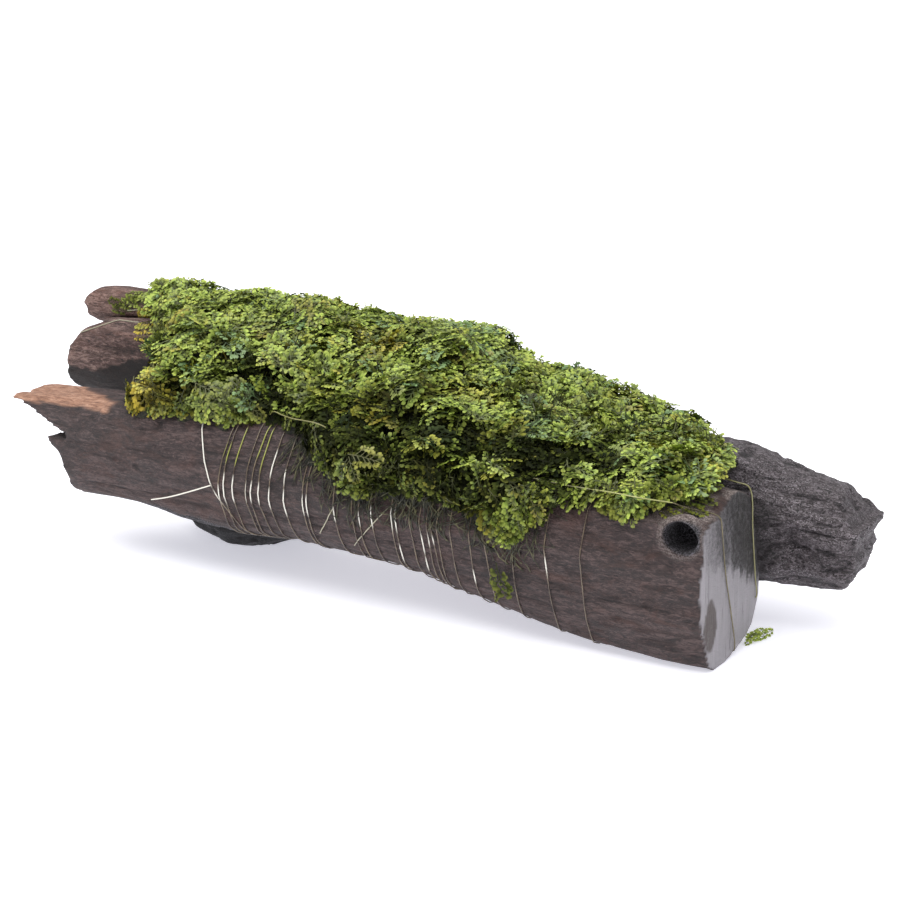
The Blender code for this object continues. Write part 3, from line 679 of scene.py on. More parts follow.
def line_look():
    """Clear nylon: takes up the colour behind it; yellow or painted with highlights in stretches.
    """
    look = Look("clear_nylon")
    along = look.noise(200, 3, 0.6)
    dull = look.colours(along, (0.35, 70, 58, 50), (0.65, 118, 104, 86))
    colour = look.mix(look.attribute("yellow"), dull, (150, 152, 76))
    # Painted highlight: whitish stretches where the line would catch the light.
    colour = look.mix(look.attribute("glint"), colour, (236, 232, 220))
    return look.finish(colour, 0.22, IOR=1.53)


# The wood.

def near_splinter(points, normals):
    """1 on the pale freshly broken top of the splinter at the trunk's left tip, 0 off it."""
    x, y, z = points.T
    low = curve(x, SPLINTER_LOW)
    back = curve(x, SPLINTER_BACK)
    ragged = 0.5 * smooth_noise(points * (0.3, 0.9, 0.9), 11)
    above = ramp(z - low + ragged, -0.5, 0.3)
    ahead = ramp(back - y + 2 * ragged, -1.0, 1.0)
    return above * ahead * ramp(normals[:, 2], 0.1, 0.4) * fall(x, -99, -96)


def sawn_marks(points):
    """Where the sawn face is wet, and where its oval stain is."""
    y, z = points[:, 1], points[:, 2]
    above = z - curve(y, WET_EDGE)
    streaks = layered_noise(points * (0.3, 1.0, 0.08), 23)
    ragged = above + 1.2 * layered_noise(points / 2.6, 21) + 2.0 * streaks
    across = curve(y, WET_ACROSS)
    wet = ramp(ragged, -3.0, 2.5) * np.clip(across + 0.012 * (above - 6.0) + 0.1 * streaks, 0, 1)
    rim = np.hypot((y - OVAL_CENTRE[0]) / OVAL_HALF[0], (z - OVAL_CENTRE[1]) / OVAL_HALF[1])
    stain = fall(rim + 0.1 * layered_noise(points / 2.5, 22), 0.88, 1.02)
    return wet, stain


def shaded_belly(points):
    """1 on the trunk's belly round the top of the foot, painted near black as shade, 0 off it."""
    x, y, z = points.T
    ragged = 0.7 * layered_noise(points / 4, 33)
    below = fall(z - curve(x, FOOT_TOP) + ragged, 0.2, 1.2)
    return below * ramp(x, -99, -92) * fall(x, -48, -40)


def carve(points, faces, held, flutes, pits, seed):
    """Weathers the wood: long flutes and furrows along the grain, and pits. Held points stay."""
    normals = normals_of(points, faces)
    broad = layered_noise(points / (42, 5.5, 5.5), seed)
    furrows = layered_noise(points / (20, 2.2, 2.2), seed + 1, 2)
    creases = fall(np.abs(smooth_noise(points / (30, 3.4, 3.4), seed + 2)), 0.0, 0.14)
    worn = smooth_noise(points / (5, 3, 3), seed + 3)
    height = flutes * (0.8 * broad + 0.5 * furrows - 0.9 * creases) - pits * ramp(worn, 0.45, 0.9)
    # How deep each point lies in a furrow, for the shade painted there.
    deep = ramp(-(0.5 * furrows - 1.2 * creases), 0.35, 1.5)
    free = 1 - held
    return points + normals * (height * free)[:, None], deep * free


def make_trunk(look):
    points, faces = remeshed("trunk", TRUNK_VOXEL)
    sawn_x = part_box("trunk")[1].x / MM
    x, y, z = points.T
    on_face = (ramp(normals_of(points, faces)[:, 0], 0.7, 0.9)
               * ramp(x, sawn_x - SAWN_DEPTH, sawn_x - 0.6))
    from_knot = np.hypot(x - KNOT_AT[0], (z - KNOT_AT[1]) / KNOT_HEIGHT_SHARE)
    in_front = y < KNOT_FRONT
    knot = fall(from_knot, KNOT_LIP, KNOT_LIP + 1.5) * in_front
    splintered = fall(x, -108, -96)
    held = np.maximum(ramp(x, sawn_x - 2.2, sawn_x - 0.8), 0.7 * knot)
    points = relaxed(points, faces, 0.5 * (1 - np.maximum(held, 0.88 * splintered)), 8)
    points, deep = carve(points, faces, np.maximum(held, 0.3 * splintered), **TRUNK_WEAR)
    points[:, 2] = np.maximum(points[:, 2], 0)
    points[:, 0] = np.minimum(points[:, 0], sawn_x)

    x, y, z = points.T
    # Painted shade: the knot's opening and inner wall.
    opening = np.hypot((x - KNOT_DARK_AT[0]) / KNOT_DARK[0], (z - KNOT_DARK_AT[1]) / KNOT_DARK[1])
    wall_near, wall_far, wall_top = KNOT_WALL
    on_wall = (y > wall_near) & (y < wall_far) & (z < wall_top)
    hole = np.maximum(fall(opening, 0.93, 1.07), fall(from_knot, 6.2, 7.0) * on_wall)
    hole = hole * in_front * (x < sawn_x - 1.0)
    wet, stain = sawn_marks(points)
    speckled = 0.5 + 0.5 * layered_noise(points / 4.0, 27)
    round_knot = fall(from_knot, KNOT_LIP - 0.8, KNOT_LIP + 0.8) * in_front
    on_top = ramp(z, 43, 48) * ramp(x, 56, 96)
    bare = np.clip(0.4 * round_knot + 0.8 * on_top * ramp(speckled, 0.25, 0.6), 0, 0.85)
    trunk = make_piece(
        "trunk_wood", points, faces, look, "wood", furrow=deep, bare=bare * (1 - on_face),
        pale=near_splinter(points, normals_of(points, faces)),
        hole=np.maximum(hole, shaded_belly(points)), sawn=on_face, wet=wet, stain=stain)
    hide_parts("trunk")
    return points, faces


def make_limb(name, node, voxel, look, wear):
    points, faces = remeshed(node, voxel)
    points = relaxed(points, faces, np.full(len(points), 0.45), 8)
    right = ramp(points[:, 0], 10, 60)
    points, deep = carve(points, faces, 0.5 * (1 - right), **wear)
    rough = layered_noise(points / (2.6, 1.7, 1.7), wear["seed"] + 5, 2)
    points = points + normals_of(points, faces) * (0.32 * right * rough)[:, None]
    x, y, z = points.T
    z -= NOTCH_DEPTH * ramp(x, 138.5, 141) * ramp(z, 34, 39)
    z[:] = np.maximum(z, 0)
    ragged = 1.2 * layered_noise(points / 5, wear["seed"] + 9)
    # Painted shade under the left nub, where it hangs over the trunk.
    under = fall(z - curve(x, NUB_UNDERSIDE) + ragged, -0.6, 0.8)
    under = under * fall(x, -98, -90) * fall(y + ragged, 8, 16)
    # Painted shade on the limb's right end low down, behind the sawn face.
    shade = 0.75 * ramp(x, 80, 90) * fall(x + 2 * ragged, 112, 123)
    shade = shade * fall(y, 14, 20) * fall(z + ragged, 37, 43)
    if node == "foot_stub":
        z[:] = np.maximum(z - FOOT_BULGE * (fall(y, 4, 14) * fall(z, 12, 24)), 0)
    limb = make_piece(name, points, faces, look, "wood", charred=right,
                      furrow=np.maximum(deep, np.maximum(under, shade)))
    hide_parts(node)
    return points, faces


# The moss.

def frond_shape(rng, pairs, spread=0.43, lobe=LOBE_HALF_WIDTH):
    """One flat frond of unit length: points (along, across), how near each is to a tip, faces."""
    points, tips, faces = [], [], []

    def strip(stations, tip_values):
        first = len(points)
        for (middle, side), tip in zip(stations, tip_values):
            points.extend([middle - side, middle + side])
            tips.extend([tip, tip])
        for k in range(len(stations) - 1):
            a = first + 2 * k
            faces.append((a, a + 1, a + 3, a + 2))

    bend = rng.uniform(-0.16, 0.16)

    def spine(u):
        return np.array([u, bend * u * u])

    def heading(angle, side):
        return np.array([math.cos(angle), side * math.sin(angle)])

    def across(way, wide):
        return np.array([-way[1], way[0]]) * wide

    strip([(spine(u), np.array([0, 0.014 * (1 - 0.4 * u)])) for u in (0, 0.4, 0.75, 1.0)],
          (0.0, 0.08, 0.3, 0.9))
    for k in range(pairs):
        for side in (-1, 1):
            u = 0.14 + 0.8 * (k + 0.5 * (side > 0)) / pairs + rng.uniform(-0.02, 0.02)
            reach = spread * math.sin(math.pi * (0.27 + 0.64 * u)) * rng.uniform(0.75, 1.15)
            angle = math.radians(rng.uniform(48, 62) - 22 * u)
            way = heading(angle, side)
            curl = heading(angle - 0.3, side)
            start, elbow = spine(u), spine(u) + way * reach * 0.5
            strip([(start, across(way, 0.011)), (elbow, across(way, 0.016)),
                   (elbow + curl * reach * 0.34, across(curl, lobe)),
                   (elbow + curl * reach * 0.52, across(curl, 0.6 * lobe))],
                  (0.1, 0.4, 0.95, 1.0))
            for place, turn in ((0.4, 1), (0.62, -1)):
                out = heading(angle + turn * math.radians(rng.uniform(42, 62)), side)
                root = start + way * reach * place
                long = reach * rng.uniform(0.26, 0.38) + 0.035
                strip([(root, across(out, 0.011)),
                       (root + out * long * 0.62, across(out, 0.9 * lobe)),
                       (root + out * long, across(out, 0.5 * lobe))],
                      (0.4, 0.9, 1.0))
    return np.array(points), np.array(tips), np.array(faces)


def unit(vectors):
    return vectors / np.maximum(np.linalg.norm(vectors, axis=-1, keepdims=True), 1e-9)


def turned(vectors, axes, angles):
    """The vectors turned about their axes."""
    c, s = np.cos(angles)[:, None], np.sin(angles)[:, None]
    along = (vectors * axes).sum(axis=1, keepdims=True)
    return vectors * c + np.cross(axes, vectors) * s + axes * along * (1 - c)


def rooted(vectors, axes):
    """The vectors made square to their axes, one long."""
    return unit(vectors - (vectors * axes).sum(axis=1, keepdims=True) * axes)


class Mat:
    """The outside of the moss: where it is, and how far the wood lies under it."""

    def __init__(self, wood_tree):
        points, faces = remeshed("moss_mat", MAT_VOXEL)
        points = relaxed(points, faces, np.full(len(points), 0.5), 2)
        normals = normals_of(points, faces)
        corners = points[faces]
        ways = unit(normals[faces].mean(axis=1))
        covered = [wood_tree.ray_cast(Vector(p), Vector(w), COVER_REACH)[0] is not None
                   for p, w in zip(corners.mean(axis=1), ways)]
        self.corners = corners
        self.ways = ways
        self.size = size_of(
            np.cross(corners[:, 2] - corners[:, 0], corners[:, 3] - corners[:, 1]))
        self.size = self.size * ~np.array(covered)
        self.tree = tree_of(points, faces)
        self.skin = tree_of(points, faces[self.size > 0])
        self.wood_tree = wood_tree

    def places(self, count, gap, rng):
        """Places on the outside, off the cavity and a gap apart, and the way out at each."""
        picked = rng.choice(len(self.size), 9 * count, p=self.size / self.size.sum())
        weights = rng.dirichlet(np.ones(4), len(picked))
        spots = (self.corners[picked] * weights[:, :, None]).sum(axis=1)
        kept = []
        taken = {}
        for i, spot in enumerate(spots):
            cell = tuple(np.floor(spot / gap).astype(int))
            near = [j for dx in (-1, 0, 1) for dy in (-1, 0, 1) for dz in (-1, 0, 1)
                    for j in taken.get((cell[0] + dx, cell[1] + dy, cell[2] + dz), ())]
            if near and size_of(spots[near] - spot).min() < gap:
                continue
            taken.setdefault(cell, []).append(i)
            kept.append(i)
            if len(kept) == count:
                break
        free = ~in_cavity(spots[kept])
        return spots[kept][free], self.ways[picked[kept]][free]

    def outside(self, points):
        """The way from the mat's surface to each point outside it, and none for the rest."""
        found = np.zeros_like(points)
        for i, point in enumerate(points):
            near, way, _, _ = self.tree.find_nearest(Vector(point))
            gap = Vector(point) - near
            if gap.dot(way) > 0:
                found[i] = gap
        return found

    def fit(self, fronds, proud):
        """Moves fronds that stand out of the mat by more than proud back in, as far as it takes."""
        for _ in range(FIT_ROUNDS):
            worst = np.zeros_like(fronds["base"])
            for u, v in FIT_POINTS:
                out = self.outside(frond_spots(fronds, u, v))
                more = size_of(out) > size_of(worst)
                worst[more] = out[more]
            excess = size_of(worst)
            shift = np.maximum(excess - proud, 0) / np.maximum(excess, 1e-6)
            fronds["base"] = fronds["base"] - worst * shift[:, None]
        return excess

    def depth_of(self, points):
        """How far under the outside of the moss each point lies."""
        return np.array([self.skin.find_nearest(Vector(point))[3] for point in points])

    def above_wood(self, points):
        found = np.empty(len(points))
        for i, point in enumerate(points):
            near, way, _, gap = self.wood_tree.find_nearest(Vector(point))
            found[i] = gap if (Vector(point) - near).dot(way) > 0 else -gap
        return found


def frond_points(fronds, flat, cup=0.0, rough=0.0):
    """Where flat places (along, across), as shares of a frond's length, are on each frond.

    The fronds droop, and cup and are rough by as much of their length as is given.
    """
    ahead, up = fronds["ahead"][:, None, :], fronds["up"][:, None, :]
    droop = fronds["droop"][:, None]
    u, v = flat[None, :, 0], flat[None, :, 1]
    along = np.sin(droop * u) / droop
    rise = -(1 - np.cos(droop * u)) / droop - cup * v * v + rough
    return fronds["base"][:, None, :] + fronds["length"][:, None, None] * (
        along[..., None] * ahead + v[..., None] * np.cross(up, ahead) + rise[..., None] * up)


def frond_spots(fronds, u, v):
    return frond_points(fronds, np.array([[u, v]]))[:, 0]


def lay_fronds(name, look, rng, shapes, fronds):
    """Joined meshes of fronds. Each grows ahead from its base and droops away from up."""
    made = []
    for first in range(0, len(fronds["base"]), FRONDS_PER_PIECE):
        chosen = np.arange(first, min(first + FRONDS_PER_PIECE, len(fronds["base"])))
        kinds = rng.integers(0, len(shapes), len(chosen))
        points, faces, growth, depth = [], [], [], []
        for kind, (flat, tips, shape_faces) in enumerate(shapes):
            here = {key: value[chosen[kinds == kind]] for key, value in fronds.items()}
            sown, count = len(here["base"]), len(flat)
            if not sown:
                continue
            rough = rng.normal(0, FROND_ROUGH, (sown, count))
            grown = frond_points(here, flat, rng.uniform(*FROND_CUP, sown)[:, None], rough)
            grown[..., 2] = np.maximum(grown[..., 2], TABLE_CLEAR)
            offsets = sum(map(len, points)) + count * np.arange(sown)
            points.append(grown.reshape(-1, 3))
            faces.append((shape_faces[None] + offsets[:, None, None]).reshape(-1, 4))
            growth.append(np.column_stack([np.tile(tips, sown), np.repeat(here["hue"], count),
                                           np.repeat(here["ochre"], count), np.ones(sown * count)]))
            root, end = here["root_shade"][:, None], here["tip_shade"][:, None]
            depth.append((root + (end - root) * np.clip(flat[:, 0], 0, 1)[None]).ravel())
        made.append(make_piece(
            f"{name}_{len(made) + 1}", np.concatenate(points), np.concatenate(faces), look, "moss",
            growth=np.concatenate(growth), depth=np.concatenate(depth)))
    return made


def above_edge(places):
    """How far each place is above the mat's lower edge on the front face."""
    return places[:, 2] - curve(places[:, 0], FRONT_EDGE)


def hollows(places):
    """1 in the hollows between the mat's tiers, where shade is painted, 0 on the tiers."""
    round_about = 45 * np.arctan2(places[:, 2] - 30, -places[:, 1])
    tiers = smooth_noise(np.column_stack([places[:, 0] / 21, round_about / 7.5,
                                          0 * round_about]), 61)
    blots = smooth_noise(places / (11, 9, 7), 63)
    return np.maximum(ramp(-tiers, 0.1, 0.42), 0.8 * ramp(blots, 0.28, 0.55))


def near_painted_shade(places):
    """How near each place is to the belt or a place of painted shade, from 0 to 1."""
    belt = np.array(PAINTED_SHADE_BELT, float)
    shares = np.linspace(0, 1, 8)[:, None]
    along = np.concatenate([a + (b - a) * shares for a, b in zip(belt, belt[1:])])
    gap = np.array([size_of(along - place).min() for place in places])
    ragged = 2.2 * smooth_noise(places / 7, 67)
    return np.maximum(fall(gap + ragged, 2.5, BELT_REACH),
                      near_one(places + ragged[:, None], PAINTED_SHADE_PLACES, DARK_REACH))


def near_one(places, spots, reach):
    """How near each place is to one of the spots, from 0 to 1."""
    gaps = [size_of(places - np.array(spot)) for spot in spots]
    return fall(np.min(gaps, axis=0), 0.25 * reach, reach)


def in_cavity(places):
    """True over the cavity between nub and splinter, left free of fronds to show painted shade."""
    x, y, z = places.T
    right, near, far, low = CAVITY
    return (x < right) & (y > near) & (y < far) & (z > low)


def tufts(places):
    """How near each place is to a gap between tufts, from 0 to 1, and the way to it."""
    at = places / TUFT_SIZE + 0.35 * np.column_stack(
        [smooth_noise(places / 6, 81 + k) for k in range(3)])
    cells = np.floor(at)
    gaps, middles = [], []
    for step in np.ndindex(3, 3, 3):
        cell = cells + np.array(step) - 1
        middle = cell + 0.5 + 0.42 * np.column_stack([lattice(cell, 91 + k) for k in range(3)])
        gaps.append(size_of(at - middle))
        middles.append(middle)
    gaps = np.array(gaps)
    order = np.argsort(gaps, axis=0)
    rows = np.arange(len(places))
    first, second = gaps[order[0], rows], gaps[order[1], rows]
    return fall(second - first, 0.02, 0.42), unit(at - np.array(middles)[order[0], rows])


def sprays_of(mat, places, out, rng, per_spray, lengths, lifts, sunk):
    """Sprays of fronds fanned from their places: which spray each is of, and the fronds."""
    sprays = len(places)
    crest = ramp(out[:, 2], 0.55, 0.9)
    down = np.array([0.0, 0.0, -1.0]) + 0 * out
    slope = down - (down * out).sum(axis=1, keepdims=True) * out
    level = 1 - np.linalg.norm(slope, axis=1, keepdims=True)
    anywhere = unit(np.cross(out, rng.normal(size=out.shape)))
    _, away = tufts(places)
    ends = ramp(places[:, 0], 92, 106) - 1.3 * fall(places[:, 0], -112, -94)
    slope = unit(slope) * (1 - level) + 0.45 * away + anywhere * (0.3 + level)
    slope = unit(slope + ends[:, None] * np.array([1.0, 0, 0]))
    slope = rooted(slope, out)
    slope = turned(slope, out, rng.normal(0, math.radians(SPRAY_TURN), sprays))
    lift = (rng.uniform(*np.radians(lifts), sprays) + math.radians(CREST_LIFT) * crest)[:, None]
    ahead = unit(np.cos(lift) * slope + np.sin(lift) * out)
    up = rooted(0.9 * out + np.array([0, 0, 0.7]) + rng.normal(0, 0.22, out.shape), ahead)

    each = np.repeat(np.arange(sprays), per_spray)
    count = len(each)
    spread = np.tile(np.linspace(-1, 1, per_spray), sprays)
    angle = np.radians(SPRAY_SPREAD) * spread + rng.normal(0, 0.22, count)
    length = rng.uniform(*lengths, count) * (1.08 - 0.22 * np.abs(spread))
    face_up = unit(up[each] + rng.normal(0, 0.2, (count, 3)))
    fronds = {
        "base": (places[each] - ahead[each] * (0.5 * length)[:, None]
                 + out[each] * (0.8 + 1.2 * crest[each])[:, None]),
        "ahead": rooted(turned(ahead[each], up[each], angle), face_up),
        "up": face_up, "length": length, "droop": rng.uniform(0.1, 0.8, count),
    }
    proud = PROUD + CREST_PROUD * crest[each]
    mat.fit(fronds, proud)
    room = mat.above_wood(frond_spots(fronds, 0.75, 0))
    lower = np.clip(sunk[each], 0, np.maximum(room - SUNK_GAP, 0))
    lower = np.where(room > LEAST_GAP, lower, np.maximum(room - LEAST_GAP, -1.5))
    fronds["base"] -= out[each] * lower[:, None]
    excess = mat.fit(fronds, np.maximum(proud, RAISED_PROUD))
    kept = excess < TOO_PROUD
    each = each[kept]
    fronds = {key: value[kept] for key, value in fronds.items()}
    # Painted shade: each frond darkens the deeper its root and tip lie under the mat's outside.
    for key, u in (("root_shade", 0.15), ("tip_shade", 0.95)):
        fronds[key] = ramp(mat.depth_of(frond_spots(fronds, u, 0)), 0.4, SHADE_DEPTH)
    return each, fronds


def make_fronds(look, rng, shapes, mat):
    """The bright sprays at the outside of the moss."""
    places, out = mat.places(SPRAYS, SPRAY_GAP, rng)
    sprays = len(places)
    x = places[:, 0]
    crest = ramp(out[:, 2], 0.6, 0.9)
    front = ramp(-out[:, 1], 0.2, 0.6)
    rise = above_edge(places)
    old = front * fall(rise, 6, 18) * ramp(x, -36, -22) * fall(x, 48, 60)
    hollow = hollows(places) * (1 - 0.6 * crest)
    crease, _ = tufts(places)
    gap = np.clip(np.maximum(hollow, 0.75 * crease) + 0.35 * old, 0, 1)
    belt = near_painted_shade(places)
    sunk = (3.4 * gap + 1.4 * rng.random(sprays) ** 2) * (1 - 0.85 * crest) + 1.8 * belt
    each, fronds = sprays_of(mat, places, out, rng, FRONDS_PER_SPRAY, FROND_LENGTH,
                             SPRAY_LIFT, sunk)

    hue = rng.normal(0.58, 0.22, sprays) - 0.45 * old - 0.3 * gap + 0.35 * crest
    hue += 0.25 * smooth_noise(places / 18, 71)
    hue = np.where(rng.random(sprays) < BLUISH_SHARE, 1.0, np.clip(hue, 0, 0.86))
    low_left = fall(x, -86, -60) * ramp(-out[:, 1], -0.2, 0.4) * fall(rise, 8, 20)
    spots = ramp(smooth_noise(places / 15, 77), 0.3, 0.7)
    ochre = np.clip(0.9 * low_left + 0.55 * spots + rng.normal(-0.08, 0.18, sprays), 0, 1)
    count = len(each)
    # Painted shade and light: darker in hollows and the belt, lighter on the crest and lit places.
    painted_dimming = 0.42 * gap + 0.3 * rng.random(sprays) ** 2 - 0.1 - 0.08 * crest
    painted_dimming += 0.66 * belt - 0.34 * near_one(places, PAINTED_LIGHT_PLACES, LIGHT_REACH)
    fronds["hue"] = np.clip(hue[each] + rng.normal(0, 0.08, count), 0, 1)
    fronds["ochre"] = np.clip(ochre[each] + rng.normal(0, 0.1, count), 0, 1)
    for key in ("root_shade", "tip_shade"):
        fronds[key] = np.clip(fronds[key] + painted_dimming[each] + rng.normal(0, 0.07, count), 0, 1)
    sparse = rng.random(count) > 0.3 * old[each]
    fronds = {key: value[sparse] for key, value in fronds.items()}
    lay_fronds("moss_fronds", look, rng, shapes, fronds)


def make_undergrowth(look, rng, shapes, mat):
    """Fronds with more painted shade that fill the mat under the sprays."""
    places, out = mat.places(UNDERGROWTH, SPRAY_GAP, rng)
    sunk = rng.uniform(*UNDERGROWTH_SUNK, len(places))
    each, fronds = sprays_of(mat, places, out, rng, UNDERGROWTH_PER_SPOT, UNDERGROWTH_LENGTH,
                             UNDERGROWTH_LIFT, sunk)
    count = len(each)
    fronds["hue"] = rng.uniform(0.0, 0.45, count)
    fronds["ochre"] = np.clip(rng.normal(0.05, 0.15, count), 0, 1)
    # Painted shade: the undergrowth is darker than the sprays.
    for key in ("root_shade", "tip_shade"):
        fronds[key] = np.clip(fronds[key] + 0.15 + rng.normal(0, 0.08, count), 0, 1)
    lay_fronds("moss_undergrowth", look, rng, shapes, fronds)


def make_creepers(look, wood_tree, rng, shapes):
    """Fronds that lie flat on the wood beside the mat."""
    rows = np.array(CREEPERS)
    starts, ends, dark, ochre = rows[:, :3], rows[:, 3:6], rows[:, 6], rows[:, 7]
    count = len(starts)
    near, ways = np.zeros_like(starts), np.zeros_like(starts)
    for i, middle in enumerate(0.7 * starts + 0.3 * ends):
        near[i], ways[i], _, _ = wood_tree.find_nearest(Vector(middle))
    ahead = rooted(ends - starts, ways)
    length = size_of(ends - starts)
    fronds = {
        "base": near + 0.7 * ways - ahead * (0.3 * length)[:, None], "ahead": ahead,
        "up": unit(ways), "length": length, "droop": np.full(count, 0.12),
        "hue": rng.uniform(0.1, 0.6, count), "ochre": ochre,
        # Painted shade, a little more at each creeper's root.
        "root_shade": dark + 0.15, "tip_shade": dark,
    }
    lay_fronds("moss_creepers", look, rng, shapes, fronds)


def make_stems(look, wood_tree, bed_tree, rng):
    """Thin old stems that run down over the wood at the mat's lower front edge."""
    points, faces, shades = [], [], []
    for _ in range(OLD_STEMS):
        x = rng.uniform(OLD_STEMS_FROM, OLD_STEMS_TO)
        z = curve(x, FRONT_EDGE) + 15 * rng.random() ** 1.4 - 0.5
        heading = rng.normal(*STEM_HEADING)
        step = rng.uniform(*STEM_STEP)
        arch = rng.uniform(*STEM_ARCH)
        path = []
        for k in range(STEM_STEPS):
            hits = [tree.ray_cast(Vector((x, FAR_FRONT, z)), Vector((0, 1, 0)))[0]
                    for tree in (wood_tree, bed_tree)]
            y = min((hit.y for hit in hits if hit), default=0)
            path.append((x, y - 0.25 - arch * math.sin(math.pi * k / (STEM_STEPS - 1)), z))
            heading += rng.normal(0, 14)
            x += step * math.cos(math.radians(heading))
            z += step * math.sin(math.radians(heading))
        path = np.array(path)
        if path[:, 1].max() > -26 or np.abs(np.diff(path[:, 1])).max() > 2.5:
            continue
        around, sides = tube(path, rng.uniform(*STEM_HALF_WIDTH), 3)
        faces.append(sides + sum(map(len, points)))
        points.append(around)
        shades.append(np.full(len(around), rng.uniform(0.0, 0.8)))
    make_piece("moss_stems", np.concatenate(points), np.concatenate(faces), look, "moss",
               depth=np.concatenate(shades))


def make_bed(look, wood_tree):
    """The mat under its fronds, drawn in from the CAD solid's outside and down onto the wood."""
    points, faces = remeshed("moss_mat", MAT_VOXEL)
    points = relaxed(points, faces, np.full(len(points), 0.5), 4)
    normals = normals_of(points, faces)
    drawn = BED_DEPTH + 2.0 * layered_noise(points / 4.0, 51)
    for i, (place, way) in enumerate(zip(points, normals)):
        near, wood_way, _, gap = wood_tree.find_nearest(Vector(place))
        towards = (Vector(place) - near) / max(gap, 0.01)
        if Vector(way).dot(towards) < 0.3 or gap < BED_DEPTH:
            points[i] = near + towards * min(max(gap - drawn[i], -0.7), 1.5)
        else:
            points[i] -= way * drawn[i]
    bed = make_piece("moss_bed", points, faces, look, "moss")
    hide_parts("moss_mat")
    return tree_of(points, faces)


def make_sprigs(look, rng, shapes):
    """The sprig caught on the front face and the one that lies on the table."""
    front = {
        "base": [(51.4, -43.4, 25.6), (52.6, -43.5, 20.8), (53.0, -43.4, 17.6),
                 (51.6, -43.4, 22.6)],
        "ahead": [(0.22, 0.0, -1), (0.8, -0.05, -0.75), (-0.6, -0.05, -1), (-0.5, -0.05, -1)],
        "up": [(0.1, -1, 0.2), (0.2, -1, 0.3), (-0.2, -1, 0.2), (-0.1, -1, 0.3)],
        "length": [11.8, 5.5, 4.6, 5.0],
        "hue": 0.12, "shade": 0.5,
    }
    fallen = {
        "base": [(115.9, -6.8, 1.0), (116.2, -6.0, 2.3), (116.6, -4.5, 0.9), (116.4, -3.0, 2.6),
                 (117.0, -2.2, 1.0), (117.3, 0.6, 1.4), (116.8, -5.2, 3.3), (118.6, 1.0, 1.2),
                 (116.6, -2.6, 2.6), (116.3, -3.4, 1.4), (117.2, -2.4, 1.8)],
        "ahead": [(0.4, 0.9, 0.35), (0.5, 0.9, 0.3), (0.45, 0.85, 0.5), (0.5, 0.9, 0.1),
                  (0.6, 0.8, 0.2), (0.45, 1.0, -0.05), (0.6, 0.8, -0.25), (-0.4, -1.0, 0.1),
                  (-0.2, -1.0, 0.0), (-0.2, -1.0, -0.2), (-0.25, -1.0, 0.15)],
        "up": [(0.45, -0.75, 0.5)] * 11,
        "length": [5.0, 4.6, 4.6, 4.6, 5.0, 6.0, 4.2, 4.6, 4.8, 4.2, 5.0],
        "hue": 0.88, "shade": -0.1,
    }
    for name, node, given in (("sprig_on_face", "front_sprig", front),
                              ("sprig_on_table", "fallen_sprig", fallen)):
        count = len(given["length"])
        fronds = {key: np.array(given[key], float) for key in ("base", "ahead", "up", "length")}
        fronds["ahead"] = unit(fronds["ahead"])
        fronds["up"] = rooted(fronds["up"], fronds["ahead"])
        # Painted shade, even along each sprig.
        shade = np.full(count, given["shade"])
        fronds.update(droop=np.full(count, 0.2), hue=np.full(count, given["hue"]),
                      ochre=rng.uniform(0.0, 0.12, count), root_shade=shade, tip_shade=shade)
        for piece in lay_fronds(name, look, rng, shapes, fronds):
            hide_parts(node)


# The tying line.

def hull(points):
    """The corners of the points' convex outline."""
    points = sorted(map(tuple, points))
    sides = []
    for run in (points, points[::-1]):
        side = []
        for p in run:
            while len(side) > 1 and ((side[-1][0] - side[-2][0]) * (p[1] - side[-1][1])
                                     - (side[-1][1] - side[-2][1]) * (p[0] - side[-1][0])) <= 0:
                side.pop()
            side.append(p)
        sides += side[:-1]
    return np.array(sides)


def evenly(path, step):
    """The path as points a step apart along it."""
    reach = np.concatenate([[0], np.cumsum(size_of(np.diff(path, axis=0)))])
    at = np.linspace(0, reach[-1], max(4, int(reach[-1] / step)))
    return np.stack([np.interp(at, reach, path[:, k]) for k in range(path.shape[1])], axis=1)


def wrap(wood, x, lean):
    """A turn of the line tight round the wood, leaning along x with height."""
    level = x + lean * (wood[:, 2] - 33)
    near = wood[np.abs(wood[:, 0] - level) < 1.0]
    corners = hull(near[:, 1:])
    middle = corners.mean(axis=0)
    corners = corners + LINE_CLEAR * unit(corners - middle)
    loop = evenly(np.vstack([corners, corners[:1]]), 2.0)
    return np.column_stack([x + lean * (loop[:, 1] - 33), loop])


def curved(points, step):
    """A smooth path through the points, as points a step apart."""
    points = np.array(points, float)
    ends = np.vstack([2 * points[0] - points[1], points, 2 * points[-1] - points[-2]])
    path = []
    for a, b, c, d in zip(ends, ends[1:], ends[2:], ends[3:]):
        for t in np.linspace(0, 1, 9)[:-1]:
            path.append(0.5 * (2 * b + (c - a) * t + (2 * a - 5 * b + 4 * c - d) * t**2
                               + (3 * b - a - 3 * c + d) * t**3))
    return evenly(np.array(path + [points[-1]]), step)


def on_front(corners, wood_tree):
    """A path over the wood's front through corners given as (x, z)."""
    spots = []
    for x, z in evenly(np.array(corners, float), 1.5):
        hit = wood_tree.ray_cast(Vector((x, FAR_FRONT, z)), Vector((0, 1, 0)))[0]
        spots.append((x, hit.y - LINE_CLEAR, z))
    return np.array(spots)


